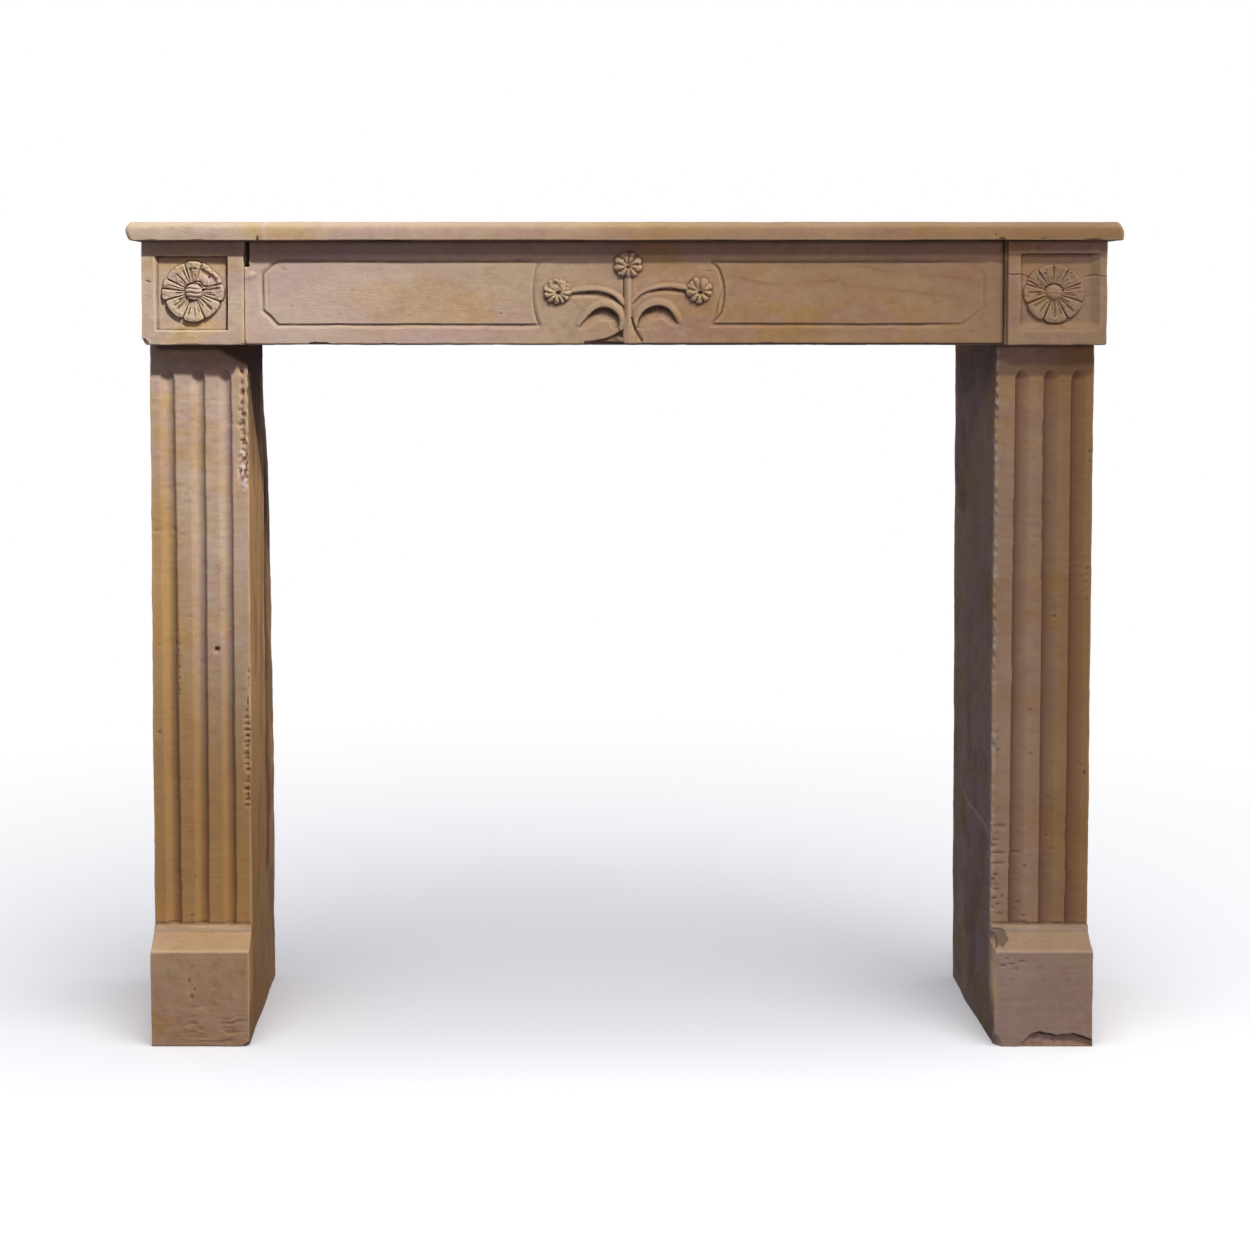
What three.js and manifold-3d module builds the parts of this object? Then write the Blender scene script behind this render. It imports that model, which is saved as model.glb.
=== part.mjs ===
// A carved limestone chimneypiece: two fluted jambs carry a lintel between two corner blocks, under a shelf.
// Millimetres. +Z is up, +X is to the viewer's right, and the front faces -Y.
// The origin is on the floor, under the middle of the whole piece.

import * as THREE from 'three';
import { mergeVertices } from 'three/addons/utils/BufferGeometryUtils.js';
import Module from 'manifold-3d';

const wasm = await Module();
wasm.setup();

// Driving dimensions
const TOTAL_HEIGHT = 1100;
const TOTAL_DEPTH = 328;
const JOINT = 0.3; // gap between touching stones

const SHELF_LENGTH = 1305;
const SHELF_THICKNESS = 23.7;

const BLOCK_HEIGHT = 137.2;
const BLOCK_LEFT_X = [-634, -499.5];
const BLOCK_RIGHT_X = [502.5, 636];
const LINTEL_DEPTH = 200;

const JAMB_WIDTH = 131;
const OPENING_HALF_WIDTH = 499;
const SHAFT_DEPTH = 270;

const PLINTH_HEIGHT = 128;
const SPLAY_HEIGHT = 19;
const BASE_FILLET = { height: 9, projection: 5 };

// How far each face stands in front of the shafts' flat faces
const PLINTH_PROJECTION = 33;
const BLOCK_PROJECTION = 38;
const LINTEL_PROJECTION = 30;

// Shallow flutes, three to a jamb. The right ones were cut a little off centre.
const FLUTE = { width: 19.7, depth: 5.2, bottom: 160, top: 905 };
const FLUTES_LEFT = { pitch: 38.2, offset: -0.2 };
const FLUTES_RIGHT = { pitch: 37.2, offset: 5 };

// Sunk squares and rosettes on the corner blocks
const SINK_DEPTH = 6;
const SINK_SLOPE = 1.2;
const SQUARE_LEFT = { x: [-615, -521], z: [958.4, 1056] };
const SQUARE_RIGHT = { x: [523, 621.3], z: [963.6, 1057.3] };
const ROSETTE = { radius: 41.5, petals: 9, edge: 6, boss: 11.5, bossHeight: 9.5 };
const ROSETTE_LEFT = { x: -566.3, z: 1008.5 };
const ROSETTE_RIGHT = { x: 567.7, z: 1007.5 };

// Panels on the lintel: a quirk with a steep wall on the panel's side runs round each
const QUIRK = { outer: 5.5, inner: 0.8, depth: 3 };
const PANEL_BOTTOM = 966;
const PANEL_TOP = 1048;
const PANEL_OUTER_X = 474;
const PANEL_CLIP = { wide: 17, high: 16 };
const PANEL_LEFT_END = { corner: -113, sagitta: 6.5 };
const PANEL_RIGHT_END = { corner: 118.5, sagitta: 15 };

// The flower spray in the middle of the lintel
const FLOWER = { petals: 9, height: 8, edge: 5, hole: 2.6, holeDepth: 4 };
const FLOWERS = [
  { x: 6, z: 1046, radius: 16.6 },
  { x: -87, z: 1011, radius: 17 },
  { x: 99.6, z: 1011, radius: 16.8 },
];
const STEM = { x: 6.2, bottom: 944, top: 1036, halfWidth: 4.2, footHalfWidth: 9.5, height: 4.5 };
const STALK_HEIGHT = 4;
const STALK_HALF_WIDTH = 3.6;
const LEAF = { height: 4, tipHalfWidth: 1.5, swellHalfWidth: 3.5 };
const HOLLOW = { depth: 7, tipWidth: 3, swellWidth: 11 };
const RIDGE_SHOULDER = { across: 0.55, up: 0.8 };

// Losses: where stone is cut back, bruised, chipped or broken away
const REAR_CUT = { foot: 320, depth: 16, start: 44 }; // start is its front edge's depth at the top
const BRUISES = { count: 7, from: 895, to: 755, size: 4.5, swing: 2.5 };
const NIBBLES = { count: 17, from: 890, to: 520, size: 2.6, swing: 1.2 };
const SHAFT_CHIP = { z: 396, half: [7.5, 7, 17], turn: 12 };
const PLINTH_CORNER_CHIP = { z: 4, half: [12, 12, 14], turn: 20 };
const PLINTH_BREAK = { x: [552, 572, 633], back: [0, 9, 12], top: [1, 18, 14] };
const BLOCK_CHIP = { half: [9, 26, 8], turn: 30 };
const JOINT_NOTCH = { wide: 5, deep: 22, from: 1042 };
const LINTEL_CHIPS = [
  { x: -402, half: 16 },
  { x: -310, half: 12 },
  { x: -12, half: 26 },
  { x: 190, half: 22 },
];

// Heights from the floor upwards
const SHELF_BOTTOM = TOTAL_HEIGHT - SHELF_THICKNESS;
const BLOCK_TOP = SHELF_BOTTOM - JOINT;
const BLOCK_BOTTOM = BLOCK_TOP - BLOCK_HEIGHT;
const JAMB_HEIGHT = BLOCK_BOTTOM - JOINT;

// Depths: the back is one plane, and the faces follow from the shafts' flat faces
const BACK_Y = TOTAL_DEPTH / 2;
const SHELF_FRONT_Y = -TOTAL_DEPTH / 2;
const SHAFT_Y = BACK_Y - SHAFT_DEPTH;
const PLINTH_Y = SHAFT_Y - PLINTH_PROJECTION;
const BLOCK_Y = SHAFT_Y - BLOCK_PROJECTION;
const LINTEL_Y = SHAFT_Y - LINTEL_PROJECTION;

const CLEAR = 3; // how far a cutter stands outside the stone
const ROOT = 3; // how far a raised carving reaches into the stone

// A closed solid from a geometry, with faces turned outwards
function solidOf(geometry) {
  const bare = geometry.clone();
  bare.deleteAttribute('normal');
  bare.deleteAttribute('uv');
  const merged = mergeVertices(bare, 1e-4);
  const positions = merged.attributes.position.array;
  const index = Uint32Array.from(merged.index.array);
  if (signedVolume(positions, index) < 0) {
    for (let i = 0; i < index.length; i += 3) {
      [index[i], index[i + 1]] = [index[i + 1], index[i]];
    }
  }
  const mesh = new wasm.Mesh({ numProp: 3, vertProperties: positions, triVerts: index });
  return new wasm.Manifold(mesh);
}

function signedVolume(positions, index) {
  let volume = 0;
  const corner = [new THREE.Vector3(), new THREE.Vector3(), new THREE.Vector3()];
  for (let i = 0; i < index.length; i += 3) {
    corner.forEach((v, k) => v.fromArray(positions, 3 * index[i + k]));
    volume += corner[0].dot(corner[1].cross(corner[2])) / 6;
  }
  return volume;
}

function geometryOf(solid) {
  const { vertProperties, triVerts } = solid.getMesh();
  const geometry = new THREE.BufferGeometry();
  geometry.setAttribute('position', new THREE.BufferAttribute(new Float32Array(vertProperties), 3));
  geometry.setIndex(new THREE.BufferAttribute(new Uint32Array(triVerts), 1));
  geometry.computeVertexNormals();
  return geometry;
}

// A closed solid through rings of points. Each ring has as many points as the next, and the ends are closed
// by a fan from the ring's middle, unless the rings join up into a loop.
function loft(rings, joined = false) {
  const count = rings[0].length;
  const positions = rings.flat(2);
  const index = [];
  const quads = (a, b) => {
    for (let j = 0; j < count; j += 1) {
      const k = (j + 1) % count;
      index.push(a * count + j, a * count + k, b * count + j);
      index.push(a * count + k, b * count + k, b * count + j);
    }
  };
  for (let i = 0; i + 1 < rings.length; i += 1) quads(i, i + 1);
  if (joined) {
    quads(rings.length - 1, 0);
  } else {
    for (const i of [0, rings.length - 1]) {
      const middle = positions.length / 3;
      const axes = [0, 1, 2];
      positions.push(...axes.map((a) => rings[i].reduce((sum, p) => sum + p[a], 0) / count));
      for (let j = 0; j < count; j += 1) {
        const k = (j + 1) % count;
        index.push(...(i === 0 ? [i * count + k, i * count + j] : [i * count + j, i * count + k]), middle);
      }
    }
  }
  const geometry = new THREE.BufferGeometry();
  geometry.setAttribute('position', new THREE.Float32BufferAttribute(positions, 3));
  geometry.setIndex(index);
  return solidOf(geometry);
}

function box(x, y, z) {
  const geometry = new THREE.BoxGeometry(x[1] - x[0], y[1] - y[0], z[1] - z[0]);
  geometry.translate((x[0] + x[1]) / 2, (y[0] + y[1]) / 2, (z[0] + z[1]) / 2);
  return solidOf(geometry);
}

// A faceted lump that takes a chip off an edge: centre, half sizes and a turn about Y in degrees
function lump([x, y, z], [halfX, halfY, halfZ], turn = 0) {
  const geometry = new THREE.IcosahedronGeometry(1, 0);
  geometry.scale(halfX, halfY, halfZ);
  geometry.rotateY(THREE.MathUtils.degToRad(turn));
  geometry.translate(x, y, z);
  return solidOf(geometry);
}

const spread = (count) => Array.from({ length: count + 1 }, (_, i) => i / count);
const smooth = (t) => t * t * (3 - 2 * t);

// A section carried along a curve on a face. section(t) lists [across, outwards] pairs, across to the left of
// the direction of travel.
function alongCurve(points, faceY, steps, section) {
  const curve = new THREE.CatmullRomCurve3(points.map(([x, z]) => new THREE.Vector3(x, 0, z)));
  return loft(spread(steps).map((t) => {
    const at = curve.getPointAt(t);
    const ahead = curve.getTangentAt(t);
    return section(t).map(([across, out]) => [at.x - ahead.z * across, faceY - out, at.z + ahead.x * across]);
  }));
}

// A round-topped ridge section that stands on a face
function ridgeSection(halfWidth, height) {
  const shoulder = RIDGE_SHOULDER.across * halfWidth;
  return [
    [-halfWidth, -ROOT], [-halfWidth, 0], [-shoulder, RIDGE_SHOULDER.up * height], [0, height],
    [shoulder, RIDGE_SHOULDER.up * height], [halfWidth, 0], [halfWidth, -ROOT],
  ];
}

// A section carried round a closed outline on a face, mitred at each corner. Outside the outline is +across.
function roundOutline(outline, faceY, section) {
  const count = outline.length;
  const rings = outline.map((point, i) => {
    const before = new THREE.Vector2(...outline[(i + count - 1) % count]);
    const here = new THREE.Vector2(...point);
    const after = new THREE.Vector2(...outline[(i + 1) % count]);
    const inward = here.clone().sub(before).normalize();
    const outward = after.clone().sub(here).normalize();
    const normalIn = new THREE.Vector2(inward.y, -inward.x);
    const normalOut = new THREE.Vector2(outward.y, -outward.x);
    const mitre = normalIn.clone().add(normalOut).normalize();
    const reach = 1 / mitre.dot(normalIn);
    return section.map(([across, out]) => [
      here.x + mitre.x * across * reach, faceY - out, here.y + mitre.y * across * reach,
    ]);
  });
  return loft(rings, true);
}

// A raised form about a centre: height(r, angle) over radius(angle), r from 0 to 1
function radialRelief(centre, faceY, sides, stations, radius, height) {
  const angles = Array.from({ length: sides }, (_, j) => (2 * Math.PI * j) / sides);
  const ring = (r, out) => angles.map((angle) => {
    const reach = r * radius(angle);
    return [centre.x + reach * Math.cos(angle), faceY - out(angle), centre.z + reach * Math.sin(angle)];
  });
  const rings = stations.map((r) => ring(r, (angle) => height(r, angle)));
  rings.push(ring(1, () => -ROOT));
  return loft(rings);
}

// The shelf: a slab with a worn round arris at the top, fullest at mid height and drawn in below
function makeShelf() {
  const half = SHELF_LENGTH / 2;
  const profile = [
    // how far in, and how high above the underside
    [6.5, 0], [4, 1.3], [1.6, 6.5], [0.2, 12], [0, 16], [1.4, 20], [3.6, 22.4], [7.5, SHELF_THICKNESS],
  ];
  const corner = 5;
  return loft(profile.map(([inset, up]) => {
    const x = half - inset;
    const y = SHELF_FRONT_Y + inset;
    const z = SHELF_BOTTOM + up;
    const outline = [[-x, BACK_Y], [-x, y + corner], [-x + 0.3 * corner, y + 0.3 * corner], [-x + corner, y]];
    const mirrored = outline.map(([px, py]) => [-px, py]).reverse();
    return [...outline, ...mirrored].map(([px, py]) => [px, py, z]);
  }));
}

// One concave flute with a scooped head
function fluteCutter(x) {
  const half = FLUTE.width / 2;
  const ends = [0.97, 0.85, 0.62, 0.3, 0];
  const stations = [
    { z: FLUTE.bottom, full: 1 },
    ...ends.toReversed().map((e) => ({ z: FLUTE.top - half * (1 - e), full: Math.sqrt(1 - e * e) })),
  ];
  return loft(stations.map(({ z, full }) => {
    const across = spread(8).map((t) => (2 * t - 1) * half * full);
    const sunk = (a) => FLUTE.depth * full * (1 - (a / (half * full)) ** 2);
    const floor = across.map((a) => [x + a, SHAFT_Y + sunk(a), z]);
    return [...floor, [x + half * full, SHAFT_Y - CLEAR, z], [x - half * full, SHAFT_Y - CLEAR, z]];
  }));
}

// A jamb with its plinth, cut from one stone. side is -1 on the left and 1 on the right.
function makeJamb(side, flutes) {
  const splayTop = PLINTH_HEIGHT + SPLAY_HEIGHT;
  const filletY = SHAFT_Y - BASE_FILLET.projection;
  const profile = new THREE.Shape([
    new THREE.Vector2(BACK_Y, 0),
    new THREE.Vector2(BACK_Y, JAMB_HEIGHT),
    new THREE.Vector2(SHAFT_Y, JAMB_HEIGHT),
    new THREE.Vector2(SHAFT_Y, splayTop + BASE_FILLET.height),
    new THREE.Vector2(filletY, splayTop + BASE_FILLET.height),
    new THREE.Vector2(filletY, splayTop),
    new THREE.Vector2(PLINTH_Y + 11, PLINTH_HEIGHT + 4.5),
    new THREE.Vector2(PLINTH_Y, PLINTH_HEIGHT),
    new THREE.Vector2(PLINTH_Y, 0),
  ]);
  const block = new THREE.ExtrudeGeometry(profile, { depth: JAMB_WIDTH, bevelEnabled: false });
  const upright = new THREE.Matrix4().makeBasis(
    new THREE.Vector3(0, 1, 0), new THREE.Vector3(0, 0, 1), new THREE.Vector3(1, 0, 0),
  );
  block.applyMatrix4(upright);
  block.translate(side < 0 ? -OPENING_HALF_WIDTH - JAMB_WIDTH : OPENING_HALF_WIDTH, 0, 0);
  let jamb = solidOf(block);
  const middle = side * (OPENING_HALF_WIDTH + JAMB_WIDTH / 2) + flutes.offset;
  for (const step of [-1, 0, 1]) {
    jamb = jamb.subtract(fluteCutter(middle + step * flutes.pitch));
  }
  return jamb;
}

// The left jamb's rear inner corner is cut back, most at the top, and its front inner arris is bruised
function makeLeftJamb() {
  const face = -OPENING_HALF_WIDTH;
  const wedge = (z, depth) => {
    const slope = (BACK_Y - REAR_CUT.start) / REAR_CUT.depth;
    const back = BACK_Y + CLEAR;
    const front = BACK_Y - slope * (depth + CLEAR);
    return [[face - depth, back, z], [face + CLEAR, back, z], [face + CLEAR, front, z]];
  };
  let jamb = makeJamb(-1, FLUTES_LEFT);
  jamb = jamb.subtract(loft([wedge(REAR_CUT.foot, 0.1), wedge(JAMB_HEIGHT + CLEAR, REAR_CUT.depth)]));
  for (const t of spread(BRUISES.count)) {
    const z = THREE.MathUtils.lerp(BRUISES.from, BRUISES.to, t);
    const size = BRUISES.size + BRUISES.swing * Math.abs(Math.sin(5 * t + 1));
    jamb = jamb.subtract(lump([face + 1.5, SHAFT_Y - 1.5, z], [size, size, 1.4 * size], 40 * t));
  }
  return jamb;
}

// The right jamb is nibbled down its inner arris, chipped lower down, and broken along the plinth's foot
function makeRightJamb() {
  const face = OPENING_HALF_WIDTH;
  let jamb = makeJamb(1, FLUTES_RIGHT);
  for (const t of spread(NIBBLES.count)) {
    const z = THREE.MathUtils.lerp(NIBBLES.from, NIBBLES.to, t);
    const size = NIBBLES.size + NIBBLES.swing * Math.abs(Math.sin(9 * t));
    jamb = jamb.subtract(lump([face - 0.8, SHAFT_Y - 0.8, z], [size, size, 2.2 * size], 30 * t));
  }
  const chips = [[SHAFT_CHIP, SHAFT_Y], [PLINTH_CORNER_CHIP, PLINTH_Y]];
  for (const [{ z, half, turn }, faceY] of chips) {
    jamb = jamb.subtract(lump([face - 1, faceY - 1, z], half, turn));
  }
  const broken = loft(PLINTH_BREAK.x.map((x, i) => [
    [x, PLINTH_Y - CLEAR, -CLEAR],
    [x, PLINTH_Y + PLINTH_BREAK.back[i], -CLEAR],
    [x, PLINTH_Y - CLEAR, PLINTH_BREAK.top[i]],
  ]));
  return jamb.subtract(broken);
}

// Petals about the centre: 0 in the valleys between them and 1 along each one's middle
function petalWave(angle, petals) {
  return Math.abs(Math.cos((petals * (angle + Math.PI / 2)) / 2));
}

// The rosette on a corner block, ribbed petals round a boss. Where broken(angle) is 1 they are a worn lump.
function makeRosette(centre, broken) {
  const { petals, edge, boss, bossHeight } = ROSETTE;
  const bossShare = boss / ROSETTE.radius;
  const radius = (angle) => {
    const whole = 0.87 + 0.13 * Math.sqrt(petalWave(angle, petals));
    return ROSETTE.radius * THREE.MathUtils.lerp(whole, 0.96, broken(angle));
  };
  const height = (r, angle) => {
    if (r <= bossShare) return bossHeight - 2.5 * (r / bossShare) ** 2;
    const out = (r - bossShare) / (1 - bossShare);
    const rib = 0.5 + 0.5 * Math.cos(2 * petals * (angle + Math.PI / 2));
    const petal = 2.6 + (edge - 2.6) * Math.sin((Math.PI * out) / 1.5);
    const valley = 1 - petalWave(angle, petals) ** 0.7;
    const carved = petal - 2.2 * valley - 0.8 * (1 - rib);
    return THREE.MathUtils.lerp(carved, 3.2 + 2 * Math.sin(Math.PI * out), broken(angle));
  };
  const stations = [0.1, 0.6 * bossShare, bossShare, 1.1 * bossShare, 0.5, 0.7, 0.88, 1];
  return radialRelief(centre, BLOCK_Y + SINK_DEPTH, petals * 6, stations, radius, height);
}

// A corner block: a sunk square with sloping edges, and the rosette on its floor
function makeCornerBlock(xRange, square, centre, broken) {
  const block = box(xRange, [BLOCK_Y, BACK_Y], [BLOCK_BOTTOM, BLOCK_TOP]);
  const frameAt = (grow, y) => [
    [square.x[0] - grow, y, square.z[0] - grow], [square.x[1] + grow, y, square.z[0] - grow],
    [square.x[1] + grow, y, square.z[1] + grow], [square.x[0] - grow, y, square.z[1] + grow],
  ];
  const sink = loft([
    frameAt(0, BLOCK_Y + SINK_DEPTH),
    frameAt(SINK_SLOPE, BLOCK_Y),
    frameAt(SINK_SLOPE, BLOCK_Y - CLEAR),
  ]);
  return block.subtract(sink).add(makeRosette(centre, broken));
}

function makeLeftBlock() {
  const brokenFrom = THREE.MathUtils.degToRad(18);
  const brokenTo = THREE.MathUtils.degToRad(98);
  const broken = (angle) => (angle > brokenFrom && angle < brokenTo ? 1 : 0);
  const block = makeCornerBlock(BLOCK_LEFT_X, SQUARE_LEFT, ROSETTE_LEFT, broken);
  const chip = lump([BLOCK_LEFT_X[0], BLOCK_Y + 4, BLOCK_BOTTOM - 1], BLOCK_CHIP.half, BLOCK_CHIP.turn);
  return block.subtract(chip);
}

function makeRightBlock() {
  return makeCornerBlock(BLOCK_RIGHT_X, SQUARE_RIGHT, ROSETTE_RIGHT, () => 0);
}

// A shallow arc between two corners, bowed by the sagitta to the panel's inside
function bowedEnd(x, fromZ, toZ, bow) {
  return spread(8).map((t) => [x + bow * 4 * t * (1 - t), THREE.MathUtils.lerp(fromZ, toZ, t)]);
}

// Both panels' outlines run anticlockwise as seen from the front
function leftPanelOutline() {
  const left = -PANEL_OUTER_X;
  const { wide, high } = PANEL_CLIP;
  return [
    [left, PANEL_TOP - high], [left, PANEL_BOTTOM + high + 3], [left + 9, PANEL_BOTTOM + 12],
    [left + wide + 2, PANEL_BOTTOM],
    ...bowedEnd(PANEL_LEFT_END.corner, PANEL_BOTTOM, PANEL_TOP, -PANEL_LEFT_END.sagitta),
    [left + wide, PANEL_TOP],
  ];
}

function rightPanelOutline() {
  const right = PANEL_OUTER_X;
  const { wide, high } = PANEL_CLIP;
  return [
    ...bowedEnd(PANEL_RIGHT_END.corner, PANEL_TOP, PANEL_BOTTOM, PANEL_RIGHT_END.sagitta),
    [right - wide - 10, PANEL_BOTTOM], [right - 9, PANEL_BOTTOM + 13],
    [right, PANEL_BOTTOM + high + 5], [right, PANEL_TOP - high], [right - wide, PANEL_TOP],
  ];
}

function quirkCutter(outline) {
  const { outer, inner, depth } = QUIRK;
  const section = [[-inner, CLEAR], [-inner, 0], [0, -depth], [outer, 0], [outer, CLEAR]];
  return roundOutline(outline, LINTEL_Y, section);
}

// A small round flower with a drilled heart. The left one's upper petals are worn low.
function makeFlower({ x, z, radius }, worn) {
  const { petals, height, edge, hole, holeDepth } = FLOWER;
  const heart = hole / radius;
  const reach = (angle) => radius * (0.86 + 0.14 * Math.sqrt(petalWave(angle, petals)));
  const relief = (r, angle) => {
    if (r <= heart) return height - holeDepth;
    const petal = r > 0.9 ? edge : edge + (height - edge) * Math.sin((Math.PI * (r - heart)) / 0.9);
    const valley = 1 - petalWave(angle, petals);
    return (petal - 2.2 * valley * r) * (1 - worn * Math.max(0, Math.sin(angle)));
  };
  const stations = [heart * 0.6, heart, heart * 1.5, 0.5, 0.8, 1];
  return radialRelief({ x, z }, LINTEL_Y, petals * 4, stations, reach, relief);
}

// The upright stem swells to a broken foot on the lintel's lower edge
function makeStem() {
  const { x, bottom, top, halfWidth, footHalfWidth, height } = STEM;
  const stations = [0, 0.12, 0.25, 0.4, 1];
  return loft(stations.map((t) => {
    const half = THREE.MathUtils.lerp(footHalfWidth, halfWidth, smooth(Math.min(1, t / 0.4)));
    const z = THREE.MathUtils.lerp(bottom, top, t);
    return ridgeSection(half, height).map(([across, out]) => [x + across, LINTEL_Y - out, z]);
  }));
}

const STALK_LEFT = [[3, 992], [-11, 1006], [-31, 1013], [-50, 1013], [-72, 1010]];
const STALK_RIGHT = [[10, 998], [24, 1009], [44, 1016], [63, 1017.5], [86, 1014]];

// Each curled leaf springs from the foot of the stem, rises beside it and curls outwards to a point
const LEAF_LEFT = [[-3, 962], [-1, 976], [-9, 988], [-23, 995], [-38, 993], [-50, 982], [-60, 968]];
const LEAF_RIGHT = [[14, 962], [17, 978], [27, 990], [42, 996.5], [58, 994], [68, 984], [75, 970]];

function makeStalk(points) {
  return alongCurve(points, LINTEL_Y, 12, () => ridgeSection(STALK_HALF_WIDTH, STALK_HEIGHT));
}

// The leaf's width and height swell in the middle and die away at both ends
const leafSwell = (t) => Math.sqrt(Math.max(0.04, Math.sin(Math.PI * (0.12 + 0.86 * t))));

function makeLeaf(points) {
  return alongCurve(points, LINTEL_Y, 14, (t) => {
    const swell = leafSwell(t);
    return ridgeSection(LEAF.tipHalfWidth + LEAF.swellHalfWidth * swell, LEAF.height * swell);
  });
}

// The hollow under a leaf: deepest against the leaf, with its floor rising away from it. inner is 1 or -1,
// the side of the curve that the hollow is on.
function hollowCutter(points, inner) {
  return alongCurve(points, LINTEL_Y, 14, (t) => {
    const swell = leafSwell(t);
    const near = 0.6 * (LEAF.tipHalfWidth + LEAF.swellHalfWidth * swell);
    const far = near + HOLLOW.tipWidth + HOLLOW.swellWidth * swell;
    const section = [
      [near, CLEAR], [near, 0], [near + 1, -HOLLOW.depth * swell],
      [(near + far) / 2, -HOLLOW.depth * swell * 0.5], [far, 0], [far, CLEAR],
    ];
    return section.map(([across, out]) => [inner * across, out]);
  });
}

// The lintel: two panels, the spray between them, an open notch at the left joint, and small chips below
function makeLintel() {
  const x = [BLOCK_LEFT_X[1] + JOINT, BLOCK_RIGHT_X[0] - JOINT];
  let lintel = box(x, [LINTEL_Y, LINTEL_Y + LINTEL_DEPTH], [BLOCK_BOTTOM, BLOCK_TOP]);
  for (const outline of [leftPanelOutline(), rightPanelOutline()]) {
    lintel = lintel.subtract(quirkCutter(outline));
  }
  lintel = lintel.subtract(hollowCutter(LEAF_LEFT, 1)).subtract(hollowCutter(LEAF_RIGHT, -1));
  for (const points of [STALK_LEFT, STALK_RIGHT]) {
    lintel = lintel.add(makeStalk(points));
  }
  for (const points of [LEAF_LEFT, LEAF_RIGHT]) {
    lintel = lintel.add(makeLeaf(points));
  }
  lintel = lintel.add(makeStem());
  FLOWERS.forEach((flower, i) => {
    lintel = lintel.add(makeFlower(flower, i === 1 ? 0.45 : 0));
  });
  const { wide, deep, from } = JOINT_NOTCH;
  lintel = lintel.subtract(
    box([x[0] - CLEAR, x[0] + wide], [LINTEL_Y - CLEAR, LINTEL_Y + deep], [from, BLOCK_TOP + CLEAR]),
  );
  for (const chip of LINTEL_CHIPS) {
    lintel = lintel.subtract(lump([chip.x, LINTEL_Y - 1, BLOCK_BOTTOM - 1.5], [chip.half, 5, 4.5], 4));
  }
  return lintel;
}

const LIMESTONE = { color: '#b4936f', roughness: 0.9, metalness: 0 };

function stone(name, solid) {
  const mesh = new THREE.Mesh(geometryOf(solid), new THREE.MeshStandardMaterial(LIMESTONE));
  mesh.name = name;
  return mesh;
}

const mantelpiece = new THREE.Group();
mantelpiece.add(
  stone('shelf', makeShelf()),
  stone('corner_block_left', makeLeftBlock()),
  stone('lintel', makeLintel()),
  stone('corner_block_right', makeRightBlock()),
  stone('jamb_left', makeLeftJamb()),
  stone('jamb_right', makeRightJamb()),
);

export default mantelpiece;
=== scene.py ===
"""A carved limestone chimneypiece in a plain studio.

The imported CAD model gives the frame. Each of its six stones is replaced here by a finer closed mesh: a
lattice over the stone's box whose front carries the carving, with worn arrises, chips and tooling. The
shape functions work in millimetres in the row frame, where the front faces -Y.
"""
import math

import bpy
import numpy as np
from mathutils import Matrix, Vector


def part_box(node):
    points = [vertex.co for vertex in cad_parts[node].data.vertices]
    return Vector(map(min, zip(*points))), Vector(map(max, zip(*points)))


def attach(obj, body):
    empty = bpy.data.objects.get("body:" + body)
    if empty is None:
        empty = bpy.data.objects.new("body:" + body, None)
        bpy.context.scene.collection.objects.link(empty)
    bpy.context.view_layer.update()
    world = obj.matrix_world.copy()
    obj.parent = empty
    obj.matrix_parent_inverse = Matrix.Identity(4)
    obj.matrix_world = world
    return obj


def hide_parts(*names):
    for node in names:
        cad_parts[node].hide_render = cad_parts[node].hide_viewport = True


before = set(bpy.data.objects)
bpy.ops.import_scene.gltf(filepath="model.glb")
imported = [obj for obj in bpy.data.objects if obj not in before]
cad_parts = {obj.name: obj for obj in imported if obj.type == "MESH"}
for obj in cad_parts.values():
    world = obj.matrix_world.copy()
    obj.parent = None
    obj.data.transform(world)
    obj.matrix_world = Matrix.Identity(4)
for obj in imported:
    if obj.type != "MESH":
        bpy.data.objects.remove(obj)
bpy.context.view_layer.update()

MM = 0.001
# What a lamp can be limited to
STONES = bpy.data.collections.new("stones")
FLOOR = bpy.data.collections.new("floor_only")


def add_object(name, data):
    """Puts a mesh, a lamp or a camera into the scene."""
    thing = bpy.data.objects.new(name, data)
    bpy.context.scene.collection.objects.link(thing)
    return thing


def stone_box(name):
    """The stone's lowest and highest corner in the CAD model, in millimetres."""
    low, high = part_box(name)
    return np.array(low) / MM, np.array(high) / MM


SHELF = stone_box("shelf")
BLOCK_LEFT = stone_box("corner_block_left")
BLOCK_RIGHT = stone_box("corner_block_right")
LINTEL = stone_box("lintel")
JAMB_LEFT = stone_box("jamb_left")
JAMB_RIGHT = stone_box("jamb_right")

# Faces and heights that the boxes don't give
SHAFT_DEPTH = 270
SHAFT_Y = JAMB_LEFT[1][1] - SHAFT_DEPTH
LINTEL_PROJECTION = 30
LINTEL_Y = SHAFT_Y - LINTEL_PROJECTION
BLOCK_PROJECTION = 38
BLOCK_Y = SHAFT_Y - BLOCK_PROJECTION
PLINTH_HEIGHT = 128
SPLAY_TOP = 147
FILLET_TOP = 156
# Arrises up to this far above a stone's underside are worn rounder
LOWEST_EDGE = 6


# Seeded noise

def lattice_value(cell, seed):
    """A fixed value from -1 to 1 for each whole-numbered cell of space."""
    n = cell[0] * 374761393 + cell[1] * 668265263 + cell[2] * 1442695041 + seed * 1274126177
    n = n & 0xFFFFFFFF
    n = ((n ^ (n >> 13)) * 1274126177) & 0xFFFFFFFF
    n = ((n ^ (n >> 16)) * 2246822519) & 0xFFFFFFFF
    return ((n >> 8) & 0xFFFF) / 32767.5 - 1


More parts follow.
